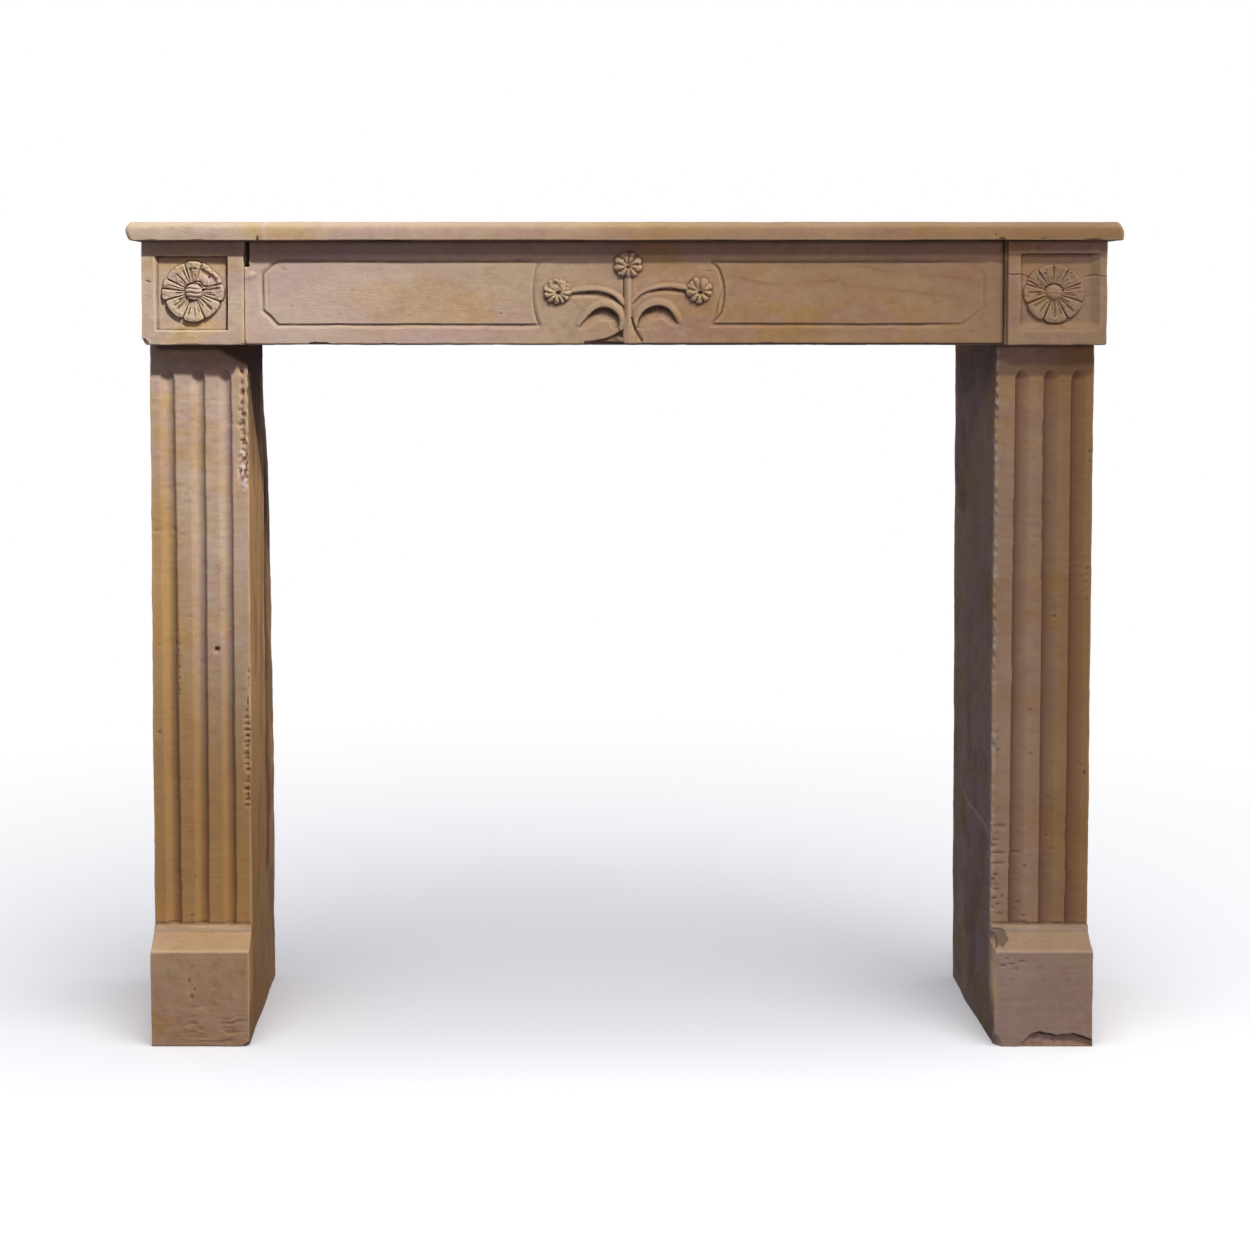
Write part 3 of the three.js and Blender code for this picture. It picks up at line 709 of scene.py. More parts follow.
STEM = {"x": 6.2, "bottom": 944, "top": 1036, "half": 4.3, "foot_half": 9.0, "rise": 3.8}
STALK_LEFT = [(2, 992), (-11, 1006), (-31, 1013), (-50, 1013), (-72, 1010)]
STALK_RIGHT = [(10, 996), (24, 1009), (44, 1016), (63, 1017.5), (86, 1014)]
LEAF_LEFT = [(-2, 960), (-1, 974), (-7.5, 985.5), (-19, 992.5), (-33, 992.5), (-47, 983.5), (-62, 964)]
LEAF_RIGHT = [(13.5, 962), (17, 977), (26, 989), (42, 995.5), (57, 993), (67.5, 983.5), (76, 968)]
ROOT_RIM = [(3, 963), (-6, 957), (-18, 950.5), (-34, 946), (-52, 944)]
ROOT_GROOVE = [(11, 975), (13.5, 966), (17.5, 956), (24, 945)]


def undercut_ridge(x, z, points, inner, half, rise, depth, hollow_width, ends):
    """A soft ridge along a curve that falls off gently outside and steeply, into a hollow, inside.
    inner is 1 or -1, the hollow's side. ends tells how the ridge and hollow swell along the curve."""
    gap, side, share = along_path(x, z, smooth_path(points))
    swell = ends(share)
    across = gap * side * inner
    width = half * (0.55 + 0.45 * swell)
    outer = np.clip(1 + across / (1.9 * width), 0, 1)
    body = np.where(across < 0, outer * outer * (3 - 2 * outer), ramp(width + 0.9, width - 0.4, across))
    ridge_height = rise * swell * body * (across < width + 1)
    floor = np.clip(1 - (across - width) / (hollow_width * (0.35 + 0.65 * swell)), 0, 1) ** 0.75
    hollow = ramp(width - 0.3, width + 0.9, across) * floor
    past_end = (share <= 0.001) | (share >= 0.999)
    hollow = hollow * ~(past_end & (gap > width + 1)) * np.where(share >= 0.999, 0, 1)
    return ridge_height, -depth * swell * hollow


def leaf_swell(share):
    return np.sqrt(np.clip(np.sin(math.pi * (0.06 + 0.94 * share)), 0.0, 1))


def left_stalk_swell(share):
    return ramp(-0.05, 0.12, share) * (1 - 0.3 * ramp(0.6, 1.0, share))


def right_stalk_swell(share):
    return 0.45 + 0.5 * ramp(0.1, 0.7, share)


def leaves_and_stalks(x, z):
    """The four curved ridges, and the hollows cut beside them."""
    height = np.zeros(x.shape)
    carved = np.zeros(x.shape)
    for points, inner, half, rise, depth, hollow_width, ends in (
        (LEAF_LEFT, 1, 4.2, 4.6, 8.6, 19, leaf_swell),
        (LEAF_RIGHT, -1, 4.2, 4.6, 8.6, 19, leaf_swell),
        (STALK_LEFT, 1, 3.0, 3.6, 4.8, 9, left_stalk_swell),
        (STALK_RIGHT, -1, 3.0, 3.6, 3.8, 8, right_stalk_swell),
    ):
        up, down = undercut_ridge(x, z, points, inner, half, rise, depth, hollow_width, ends)
        height = np.maximum(height, up)
        carved = np.minimum(carved, down)
    return height, carved


def stem_height(x, z):
    """The upright stem, wider at its foot, and the hollow along its left side."""
    along = np.clip((z - STEM["bottom"]) / (STEM["top"] - STEM["bottom"]), 0, 1)
    half = STEM["half"] + (STEM["foot_half"] - STEM["half"]) * (1 - ramp(0, 0.45, along))
    on_stem = (z > STEM["bottom"] - 6) & (z < STEM["top"] + 4)
    stem = STEM["rise"] * ridge(x - STEM["x"], half * 1.2) ** 0.7 * on_stem
    stem = stem - 0.5 * ridge(x - STEM["x"] + 2.2, 1.3) * on_stem * (stem > 1)
    beside = ridge(x - STEM["x"] + half + 1.2, 2.0) * ramp(962, 972, z) * (1 - ramp(1030, 1036, z))
    return stem, -2.6 * beside


def root_recess(x, z):
    """The share of the recess to the left of the stem's foot, and the depth of the groove to its right."""
    rim, side, share = along_path(x, z, smooth_path(ROOT_RIM))
    below = (rim * side > 0) & (x < STEM["x"] - 3) & (x > -52)
    recess = ramp(0, 1.6, rim) * (1 - 0.5 * ramp(0.5, 1, share)) * below
    recess = recess * ramp(STEM["x"] - 4.5, STEM["x"] - 8, x)
    recess = recess * (1 - 0.6 * ridge(np.hypot(x + 4.4, z - 945.6), 5))
    gap, _, share = along_path(x, z, smooth_path(ROOT_GROOVE))
    return recess, 3.2 * ridge(gap, 1.6 + 1.8 * share)


def spray_height(x, z):
    """The flower spray between the panels, and the hollows cut under its leaves and stalks."""
    height, carved = leaves_and_stalks(x, z)
    stem, beside = stem_height(x, z)
    height = np.maximum(height, stem)
    recess, root_groove = root_recess(x, z)
    carved = np.minimum(np.minimum(carved, beside), -6.0 * recess)
    height = height * (1 - recess) - root_groove * (height > 0.5)
    carved = np.minimum(carved, -root_groove)
    for flower in FLOWERS:
        bloom = flower_height(x, z, flower)
        (fx, fz), (wide, high) = flower[:2]
        inside = np.hypot((x - fx) / wide, (z - fz) / high) < 1.05
        carved = np.where(inside, 0, carved)
        height = np.where(inside, np.maximum(bloom, height * (bloom <= 0.1)), height)
    return np.where(height > 0.3, np.maximum(height, carved + height), carved + height)


VEINS = [
    [(198, 1047), (273, 1044.4), (311.6, 1043), (347, 1036.5), (367, 1035), (417, 1029), (442, 1027),
     (480, 1022)],
    [(138, 1031.8), (163, 1025.5), (193, 1019.4), (237, 1021.3), (276, 1023.4), (284, 1025.5), (297, 1016.8),
     (337, 1014), (375, 1010), (407, 1006), (450, 1001)],
]
VEIN_KNOT = (284, 1025)
NOTCH_WIDTH = 5
NOTCH_BOTTOM = 1042
NOTCH_DEPTH = 22
MORTAR = (-492, 1031)
LINTEL_CHIPS = [
    # where along the lower arris, then half its length and its height
    (-402, 20, 4.6), (-310, 14, 4.0), (-230, 8, 2.8), (-160, 12, 3.0), (-22, 34, 6.5), (30, 14, 4.5),
    (75, 9, 3), (190, 22, 4.6), (262, 8, 2.6), (330, 12, 3), (410, 9, 2.8), (-455, 9, 3),
]


def lintel_relief(x, z, waver):
    """The panels, faint grooves, the spray and a blob of mortar: the relief, and the blob's share of it."""
    relief = np.zeros(x.shape)
    for n, outline in enumerate((LEFT_PANEL, RIGHT_PANEL)):
        relief = np.minimum(relief, quirk(x, z, outline, 205 + n))
    for points, half_width, depth in FAINT_LINES:
        relief = relief + groove(x, z, points, half_width, depth)
    relief = relief + spray_height(x, z)
    off = x - MORTAR[0]
    blob = ridge(np.hypot(off / 1.5, z - MORTAR[1] - 0.2 * off) + 1.5 * waver, 7)
    return relief + 1.8 * blob * (1 + 0.9 * waver), blob


def vein_tones(shell, x, z, waver):
    """Brown veins with a soft shade below them, and the knot where one begins."""
    for path in VEINS:
        gap, _, share = along_path(x, z, smooth_path(path))
        strength = ridge(gap + 1.2 * waver, 2.8) * (0.65 + 0.35 * np.sin(share * 17))
        shell.tone_front("vein", strength)
        soft = 0.3 * ridge(gap - 2, 9) * (0.6 + 0.4 * front_noise(x, z, 40, 209))
        shell.tone_front("vein", soft)
    shell.tone_front("vein", ridge(np.hypot(x - VEIN_KNOT[0], z - VEIN_KNOT[1]), 5))


def make_lintel(material):
    low, high = LINTEL
    low = low.copy()
    low[1] = LINTEL_Y
    xs = line_places(
        low[0], high[0], 3.8,
        [(low[0], low[0] + 22, 1.1), (-480, -448, 1.4), (-128, 138, 1.05), (440, 480, 1.8)],
    )
    zs = line_places(low[2], high[2], 1.6, [(low[2], 1062, 1.15)])
    ys = line_places(low[1], high[1], 16)
    shell = Shell(xs, ys, zs)
    lower = 1 + 0.8 * (shell.flat[:, 2] < low[2] + LOWEST_EDGE)
    shell.round_arrises(1.6 * lower * (1 + 0.5 * layered_noise(shell.flat, 24, 201)))
    x, z = shell.front_places()
    waver = front_noise(x, z, 8, 207)
    relief, blob = lintel_relief(x, z, waver)
    notch = ramp(1.2, -0.4, x - low[0] - NOTCH_WIDTH - 0.8 * waver)
    notch = notch * ramp(-1, 1.5, z - NOTCH_BOTTOM + 2 * waver)
    shell.raise_front(relief - NOTCH_DEPTH * notch)
    shell.roughen(60, 0.9, 211)
    shell.roughen(9, 0.3, 215)
    # The lower arris is broken at these places, and the broken faces get painted shade
    for n, (centre, half, tall) in enumerate(LINTEL_CHIPS):
        shell.chip((centre, low[1] + 2, low[2] - 2), (half, 11, tall + 1), 230 + n, rough=0.3, chip_shade=0.9)
    shell.keep_within(low, high, (0, 9, 0))
    tone_relief(shell, relief, reach=3)
    shell.tone("golden", 0.4 * ramp(-150, 250, shell.flat[:, 0]))
    shell.tone("rosy", 0.8 * ramp(-100, -400, shell.flat[:, 0]))
    # Painted shade in the open joint's notch and in the deeper carving
    shell.tone_front("hollow", np.maximum(notch, 0.9 * ramp(2.6, 7.5, -relief)))
    # Painted shade along the lower arris
    lower_arris_shade = ramp(low[2] + 4.4, low[2] + 2.4, z + ramp(100, -100, x))
    shell.tone_front("shade_and_soot", (0.85 + 0.15 * ramp(-50, 50, x)) * lower_arris_shade)
    # Painted shade under the shelf
    shell.tone_front("shade_and_soot", 0.6 * ramp(high[2] - 6, high[2] - 1, z))
    # Painted shadow at the right end, cast by the corner block
    shell.tone_front("shade_and_soot", 0.8 * ramp(3.6, 1.6, high[0] - x))
    shell.tone_front("pale", 0.45 * blob * ramp(-0.4, 0.4, waver))
    vein_tones(shell, x, z, waver)
    finish_stone("lintel", shell, material)


# The jambs

FLUTE_BOTTOM = 156
FLUTE_TOP = 905
FLUTES_LEFT = [
    # each flute's middle at the head and at the foot, and its width
    (-607.4, -603.4, 20.8), (-566.3, -564.8, 19.2), (-530, -527.4, 17.6),
]
FLUTES_RIGHT = [(534.6, 532.6, 20), (572.2, 572.8, 20), (609.6, 608.6, 20.4)]
SPLAY_PROFILE = [
    # height, and how far the front stands before the shaft
    (0, 33), (PLINTH_HEIGHT - 0.5, 33), (PLINTH_HEIGHT + 0.5, 32), (130.5, 27.5), (133.5, 22.3),
    (137.5, 16.6), (142, 11.4), (SPLAY_TOP - 0.6, 7), (SPLAY_TOP + 0.4, 5.6), (FILLET_TOP - 1.4, 5.2),
    (FILLET_TOP - 0.4, 4.4), (FILLET_TOP + 0.7, 0.3), (158, 0), (1000, 0),
]
PROFILE_REACH = 60


def jamb_profile(x, z, seed):
    """How far the jamb's front stands before the shaft's face. The fillet's upper edge is weathered and
    wavy.
    """
    waver = layered_noise(np.column_stack([x, 0 * x, 0 * x]), 19, seed)
    up = z - 2.4 * waver * ridge(z - FILLET_TOP, 9) - 0.7 * waver * ridge(z - PLINTH_HEIGHT, 10)
    return read_table(SPLAY_PROFILE, up)


def flute_shape(x, z, flutes, skew, seed):
    """Shallow concave flutes with scooped heads and slightly uneven edges.

    skew moves the deepest line to the left. Gives the channels' share of the full depth, and how far across
    its flute each place is."""
    share = np.zeros(x.shape)
    place = np.zeros(x.shape)
    for n, (top, bottom, width) in enumerate(flutes):
        up = np.clip((z - FLUTE_BOTTOM) / (FLUTE_TOP - FLUTE_BOTTOM), 0, 1)
        middle = bottom + (top - bottom) * up + 0.5 * front_noise(x * 0, z, 70, seed + n)
        half = width / 2 + 0.45 * front_noise(x * 0, z, 14, seed + 5 + n)
        head = np.clip((FLUTE_TOP - z) / (1.5 * half), 0, 1)
        full = np.sqrt(np.clip(1 - (1 - head) ** 2, 0, 1))
        foot = ramp(FLUTE_BOTTOM, FLUTE_BOTTOM + 2, z)
        across = (x - middle) / np.maximum(half * full, 0.01)
        bent = (across + skew) / np.where(across < -skew, 1 - skew, 1 + skew)
        channel = np.clip(1 - bent**2, 0, 1) * full * foot
        place = np.where(channel > 0, across, place)
        share = np.maximum(share, channel)
    return share, place


def pits_depth(x, z, pits, seed):
    """Small pits and marks, with uneven edges: (x, z, half width, half height, depth)."""
    depth = np.zeros(x.shape)
    waver = 0.25 * front_noise(x, z, 2.5, seed)
    for px, pz, wide, high, deep in pits:
        near = (np.abs(x - px) < 2 * wide) & (np.abs(z - pz) < 2 * high)
        gap = np.hypot((x[near] - px) / wide, (z[near] - pz) / high) + waver[near]
        depth[near] = np.minimum(depth[near], -1.4 * deep * ridge(gap, 1.1))
    return depth


def tooling_depth(x, z, low, high, strength, seed):
    """Rows of short level strokes of a chisel between two heights."""
    rows = front_noise(x, z, (16, 3.2), seed, 2)
    patches = ramp(-0.25, 0.35, front_noise(x, z, 26, seed + 4))
    between = ramp(low - 6, low + 6, z) * (1 - ramp(high - 8, high + 8, z))
    return -strength * np.clip(rows, -0.2, 1) * patches * between


def jamb_shell(low, high, flutes, on_right):
    """The jamb's lattice, finer at the flutes, the inner arris, the foot and round the plinth's top."""
    zones = [
        (min(top, bottom) - width / 2 - 1, max(top, bottom) + width / 2 + 1, 1.3)
        for top, bottom, width in flutes
    ]
    zones.append((low[0], low[0] + 10, 1.2) if on_right else (high[0] - 12, high[0], 1.2))
    xs = line_places(low[0], high[0], 1.9, zones)
    ys = line_places(low[1], high[1], 9, [(low[1], low[1] + 16, 3)])
    zones = [
        (0, 26, 1.3), (26, 62, 2.0), (96, 120, 2), (120, 166, 1.1), (166, 300, 2), (890, 912, 1.4),
    ]
    zs = line_places(low[2], high[2], 2.7, zones)
    return Shell(xs, ys, zs, back_step=14)


def jamb_tones(shell, channel, across, details, seed):
    """Painted highlight on the splay and paler lines along its arrises, partly wear, painted shade in the
    crease above it and on the flutes' sides away from the light, and painted shade under the block.
    """
    x, z = shell.front_places()
    splay = ramp(PLINTH_HEIGHT - 3, PLINTH_HEIGHT, z) * (1 - ramp(FILLET_TOP - 1, FILLET_TOP + 2, z))
    fillet = (SPLAY_TOP + FILLET_TOP) / 2
    # The splay faces up: painted highlight on it, and paler lines along its arrises, partly wear
    highlight_lines = np.maximum(ridge(z - PLINTH_HEIGHT - 0.5, 2.6), 0.9 * ridge(z - fillet, 6))
    shell.tone_front("wear_and_highlight", np.maximum(highlight_lines, 0.5 * splay))
    shell.tone_front("pale", 0.45 * highlight_lines * splay)
    waver = 0.6 * front_noise(x, 0 * z, 12, seed)
    # Painted shade in the crease just above the fillet
    shell.tone_front("hollow", 0.9 * ridge(z - (FILLET_TOP + 2.5) - waver, 2.6))
    # Painted shade on each flute's side that faces away from the light
    dark_left, dark_right = details["fluted"]
    flute_shade = dark_left * np.clip((0.8 - across) / 1.7, 0, 1) + dark_right * ramp(0.35, 0.95, across)
    shell.tone_front("fluted", flute_shade * ramp(0, 0.1, channel))
    # Painted shade at the shaft's head, under the block
    top = shell.high[2]
    if details["on_right"]:
        contact_shade = 0.6 * ramp(top - 5, top - 2, z)
    else:
        contact_shade = 0.8 * ramp(top - 9, top - 6, z) * ramp(4, 14, x - shell.low[0])
    shell.tone_front("shade_and_soot", contact_shade)


def make_jamb(node, box, flutes, material, seed, details):
    """One jamb. The shaft's face is carved first, and the plinth is then drawn forward from it."""
    low, high = box
    low = low.copy()
    low[1] = SHAFT_Y
    shell = jamb_shell(low, high, flutes, details["on_right"])
    shell.round_arrises(1.6 * (1 + 0.6 * layered_noise(shell.flat, 18, seed)))
    x, z = shell.front_places()
    flute_depth, skew = details["flute"]
    channel, across = flute_shape(x, z, flutes, skew, seed + 50)
    carving = pits_depth(x, z, details["pits"], seed + 60)
    for low_z, high_z, strength in details["tooling"]:
        carving = carving + tooling_depth(x, z, low_z, high_z, strength, seed + 70)
    carving = carving + 0.22 * front_noise(x, z, (22, 2.6), seed + 80, 2)
    carving = carving + details["front"](shell, x, z)
    shell.raise_front(carving - flute_depth * channel)
    reach = np.clip(1 - (shell.flat[:, 1] - SHAFT_Y) / PROFILE_REACH, 0, 1)
    projection = jamb_profile(shell.flat[:, 0], shell.flat[:, 2], seed + 3)
    shell.points[:, 1] -= projection * reach
    details["sides"](shell)
    details["stains"](shell)
    shell.roughen(55, 1.0, seed + 7)
    shell.roughen(8, 0.3, seed + 11)
    for n, (centre, size, turn) in enumerate(details["chips"]):
        shell.chip(centre, size, seed + 30 + n, turn)
    shell.keep_within(box[0], box[1], (0.6, 0.4, 0))
    tone_relief(shell, carving + projection[shell.front], reach=2, wear_and_highlight=0.7)
    jamb_tones(shell, channel, across, details, seed)
    finish_stone(node, shell, material)


def rear_share(shell):
    """How far back each vertex lies, from 0 where the jamb's rear part starts to 1 at its back."""
    return np.clip((shell.flat[:, 1] - REAR_CUT_START) / (shell.high[1] - REAR_CUT_START), 0, 1)


REAR_CUT_START = 44
REAR_CUT = [
    # height, and how far the rear inner edge is cut back there
    (320, 0), (471, 0.8), (560, 2.6), (619, 3.6), (678, 4.6), (737, 6), (795, 9), (854, 11.5), (938, 14.5),
]
ROUGH_FROM_Y = 60
SCRAPE = {"x": -505.5, "z": 775, "wide": 9.5, "high": 29}
FOOT_RISE = 5


def left_jamb_front(shell, x, z):
    """The scrape near the inner arris, whitish and reddish, and bruised, and painted shade at the shaft's
    head beside the inner arris, under the block.
    """
    gap = np.hypot((x - SCRAPE["x"]) / SCRAPE["wide"], (z - SCRAPE["z"]) / SCRAPE["high"])
    patch = ridge(gap + 0.25 * front_noise(x, z, 6, 403), 1.15)
    speckle = front_noise(x, z, (3.5, 5), 405)
    rim = ridge(gap - 0.85, 0.3) * (x > SCRAPE["x"])
    shell.tone_front("pale", np.clip(1.8 * patch * ramp(-0.1, 0.2, speckle) + rim, 0, 1))
    shell.tone_front("red", 1.3 * patch * ramp(0.05, 0.3, front_noise(x, z, (4, 7), 409)))
    # Painted shade at the shaft's head beside the inner arris, under the block
    shade_wedge = ramp(0, 6, z - 934 + 0.55 * np.clip(x + 548, 0, 60))
    shell.tone_front("shade_and_soot", 0.95 * shade_wedge * (x > -550))
    return -4.0 * patch * ramp(0.1, -0.3, speckle)


def left_inner_face(shell):
    """Which vertices lie on the inner face, which of them are rough-hewn, and a long step behind an edge."""
    x, y, z = shell.flat.T
    on_face = x > shell.high[0] - 0.01
    waver = layered_noise(shell.flat * [0, 0, 1], 60, 411)
    behind = ramp(0, 8, y - ROUGH_FROM_Y - 6 * waver) * on_face
    step = ridge(y - ROUGH_FROM_Y - 26 - 8 * waver, 28) * on_face * ramp(150, 260, z)
    return on_face, behind, step


def left_jamb_sides(shell):
    """Cuts the rear inner corner back, most at the top, and roughens the inner face behind an edge."""
    x, _, z = shell.flat.T
    inner = ramp(0, 1, (x - shell.low[0]) / (shell.high[0] - shell.low[0]))
    shell.points[:, 0] -= read_table(REAR_CUT, z) * rear_share(shell) * inner
    _, behind, step = left_inner_face(shell)
    hewn = layered_noise(shell.flat, (60, 22, 50), 415, 4)
    shell.points[:, 0] -= behind * (0.9 + 2.0 * hewn) + 2.2 * step
    shell.points[:, 2] += FOOT_RISE * inner * (z < 0.1)


def left_jamb_stains(shell):
    """Brown soiling on the golden inner face, painted shade along the step behind its edge, painted shade
    and smoke-blackening at its head, and golden and rosy stains on the front.
    """
    x, y, z = shell.flat.T
    on_face, behind, step = left_inner_face(shell)
    dirt_and_shade = ramp(-0.3, 0.3, layered_noise(shell.flat, (60, 24, 70), 419, 4))
    # Brown soiling behind the edge, and painted shade along the step behind it
    shell.tone("dirt_and_shade", np.clip(behind * (0.05 + 0.65 * dirt_and_shade) + 0.8 * step, 0, 1))
    shell.tone("dirt_and_shade", 0.3 * on_face * ramp(480, 280, z))
    streak = ramp(0.0, 0.45, layered_noise(shell.flat, (60, 10, 90), 421, 4)) * on_face
    shell.tone("dirt_and_shade", 0.6 * streak * ramp(-106, -60, y))
    # Painted shade and smoke-blackening, darkest at the head under the lintel
    shell.tone("shade_and_soot", 0.95 * on_face * ramp(760, 930, z))
    shell.tone("golden", on_face * (1 - 0.3 * behind))
    front = y < SHAFT_Y + 1
    on_shaft = ramp(145, 165, z)
    stained = ramp(600, 300, z) + 0.5 * ramp(-560, -585, x) * ramp(780, 620, z)
    stained = stained + ramp(-585, -618, x) * ramp(880, 660, z)
    stained = stained + 0.5 * ramp(-525, -512, x) * ramp(640, 760, z)
    shell.tone("golden", front * (np.clip(stained, 0, 1) * on_shaft + 0.2 * (1 - on_shaft)))
    shell.tone("dirt_and_shade", 0.14 * front * ramp(620, 420, z) * ramp(160, 240, z))
    shell.tone("rosy", 0.9 * ramp(-545, -500, x) * ramp(480, 640, z) * front)


# The broken edge along the right plinth's foot: how far across, and how high
FOOT_BREAK = [(500, 2), (538, 6), (545, 15), (559, 20), (581, 15), (603, 18), (622, 12), (632, 9)]
# The crack on the right jamb's inner face, from back to front: depth and height
INNER_CRACK = [(112, 310), (85, 297), (55, 291), (0, 287), (-60, 284), (-100, 278)]


def right_jamb_front(shell, x, z):
    """The flake lost along the plinth's foot, with a painted shadow under its upper edge, and the grey patch
    on the splay.
    """
    waver = front_noise(x, z, 11, 451)
    edge = read_table(FOOT_BREAK, x) + 1.5 * waver
    along = ramp(528, 556, x)
    # Painted shadow under the break's upper edge
    shell.tone_front("shade_and_soot", 0.9 * ridge(z - edge + 1.2, 3.2) * along)
    gap = np.hypot((x - 505) / 15, (z - 143) / 11) + 0.35 * front_noise(x, z, 7, 455)
    shell.tone_front("grey", ramp(1.0, 0.8, gap))
    lost = ramp(edge + 0.6, edge - 1.2, z) * along
    return -(8.5 + 2.0 * waver) * lost - 2.2 * ramp(1.05, 0.85, gap)


def right_jamb_sides(shell):
    """The rear inner edge leans a little, and a crack crosses the inner face."""
    x, y, z = shell.flat.T
    lean = 4.0 * (1 - z / shell.high[2])
    inner = ramp(1, 0, (x - shell.low[0]) / (shell.high[0] - shell.low[0]))
    shell.points[:, 0] += lean * rear_share(shell) * inner
    on_face = x < shell.low[0] + 0.01
    gap, side, _ = along_path(y, z, smooth_path(INNER_CRACK))
    shell.points[:, 0] += 2.2 * ridge(gap + 1.5 * noise(shell.flat, 14, 461), 3.6) * on_face
    shell.tone("pale", 0.8 * ridge(gap * side - 1.5, 3.5) * on_face)


def right_jamb_stains(shell):
    """Faint soiling on the inner face, painted shade over it that is darkest at its head, a nibbled pale
    arris, and golden and rosy stains in front.
    """
    x, y, z = shell.flat.T
    on_face = x < shell.low[0] + 0.01
    dirt_and_shade = ramp(0.0, 0.5, layered_noise(shell.flat, (60, 50, 60), 465, 3)) * on_face
    shell.tone("dirt_and_shade", 0.35 * dirt_and_shade)
    # Painted shade over the inner face, darkest at its head under the lintel
    shell.tone("shade_and_soot", on_face * (0.08 + 0.35 * ramp(840, 925, z)))
    nibbles = ramp(0.0, 0.35, noise(shell.flat, (60, 60, 5), 467)) * ramp(7, 2, x - shell.low[0])
    shell.tone("pale", 0.7 * nibbles * (y < SHAFT_Y + 8) * ramp(160, 180, z))
    front = y < SHAFT_Y + 1
    on_shaft = front * ramp(150, 170, z)
    shell.tone("golden", on_shaft * (0.25 + 0.6 * ramp(545, 615, x)))
    shell.tone("dirt_and_shade", 0.2 * on_shaft * ramp(535, 600, x))
    shell.tone("rosy", front * ramp(600, 520, x) * 0.5 + 0.6 * front * (z < PLINTH_HEIGHT))


def row_of_pits(rng, x, from_z, to_z, count, size, swing):
    """Pits at slightly uneven places down a line: size is their half width, half height and depth."""
    row = []
    for z in np.linspace(from_z, to_z, count):
        scale = rng.uniform(0.75, 1.25)
        row.append((
            x + rng.uniform(-swing, swing), z + rng.uniform(-1, 1),
            size[0] * scale, size[1] * scale, size[2] * rng.uniform(0.6, 1.2),
        ))
    return row


def all_pits(rng, pits, rows):
    return pits + [pit for row in rows for pit in row_of_pits(rng, *row)]


# Single pits and marks: place, half width, half height and depth
LEFT_PITS = [
    (-500.5, 500, 2.4, 2.8, 2.2), (-501, 490, 2.2, 2.2, 1.8), (-501, 481, 2.4, 2.2, 1.8),
    (-502.5, 459, 1.4, 6, 2.6), (-504, 448, 2.4, 2, 2.0), (-543.2, 530, 5.0, 4.2, 4.6),
    (-621, 538, 6, 1.3, 1.2), (-622, 690, 7, 1.5, 1.2), (-600, 692, 2.2, 2.6, 1.4),
    (-622, 418, 4, 2.4, 1.4), (-574.6, 220.6, 2.0, 2.4, 1.8), (-579.4, 168.4, 3, 2, 1.6),
    (-596.7, 202, 2.2, 2, 1.4), (-579, 89, 3, 2.4, 2.4), (-576, 68, 3.4, 2.2, 2.4),
    (-572, 78, 1.8, 1.6, 1.4), (-598, 538, 1.8, 2.6, 1.8),
]
# Rows of pits: where across, from and to which height, how many, their size, and how far they swing
LEFT_ROWS = [
    (-507, 902, 806, 8, (2.8, 4.6, 3.4), 1.2),
    (-507, 852, 798, 9, (4.2, 2.4, 3.6), 3.0),
    (-505.5, 798, 748, 11, (3.4, 2.8, 3.6), 4.0),
    (-594.5, 545, 468, 11, (1.6, 2.2, 1.6), 0.6),
    (-503.4, 438, 318, 16, (4.8, 2.2, 3.2), 0.9),
    (-603, 470, 330, 7, (5, 1.2, 0.8), 3),
    (-585, 740, 300, 9, (6, 1.2, 0.7), 12),
]
RIGHT_PITS = [
    (510, 291, 11, 1.8, 1.8), (505, 281, 5, 1.5, 1.4), (504, 272, 6, 1.5, 1.4), (503, 264, 6, 1.5, 1.6),
    (508, 254, 11, 2.0, 1.8), (532, 254.5, 9, 1.8, 1.5), (544, 235.5, 3.2, 2.2, 1.6), (505, 224, 4, 2, 1.8),
    (501, 217, 3.4, 2.2, 1.8), (506, 204, 6, 1.5, 1.5), (514, 195, 2.8, 2, 1.5), (501, 179, 3.4, 2.6, 2.2),
    (508, 184, 3, 2.2, 1.8), (503, 192, 5, 1.6, 1.6), (543, 168, 4, 2.2, 1.6), (536, 186, 3, 2.2, 1.4),
    (530, 176, 5, 1.6, 1.2), (544, 160, 6, 1.6, 1.4), (623, 363, 2.8, 2.8, 2.2), (627, 796, 5, 1.8, 2.2),
    (627, 783, 5, 1.6, 2.0), (620, 372, 3, 1.6, 1.0), (509, 110, 5, 1.4, 1.4), (520, 112, 6, 1.3, 1.2),
    (534, 116, 6, 1.4, 1.6), (526, 105, 5, 1.4, 1.6), (515, 119, 5, 1.4, 1.6), (520, 92, 4, 1.3, 1.4),
    (509, 240, 9, 1.5, 1.6), (504, 211, 5, 1.6, 1.8), (511, 171, 5, 1.6, 1.8), (525, 190, 4, 1.5, 1.4),
]
RIGHT_ROWS = [
    (623, 640, 600, 5, (4, 1.5, 1.0), 2),
    (583, 590, 575, 3, (3, 1.6, 1.0), 3),
    (560, 800, 330, 9, (5, 1.4, 0.8), 18),
    (505, 420, 395, 3, (5, 1.6, 1.4), 2),
]


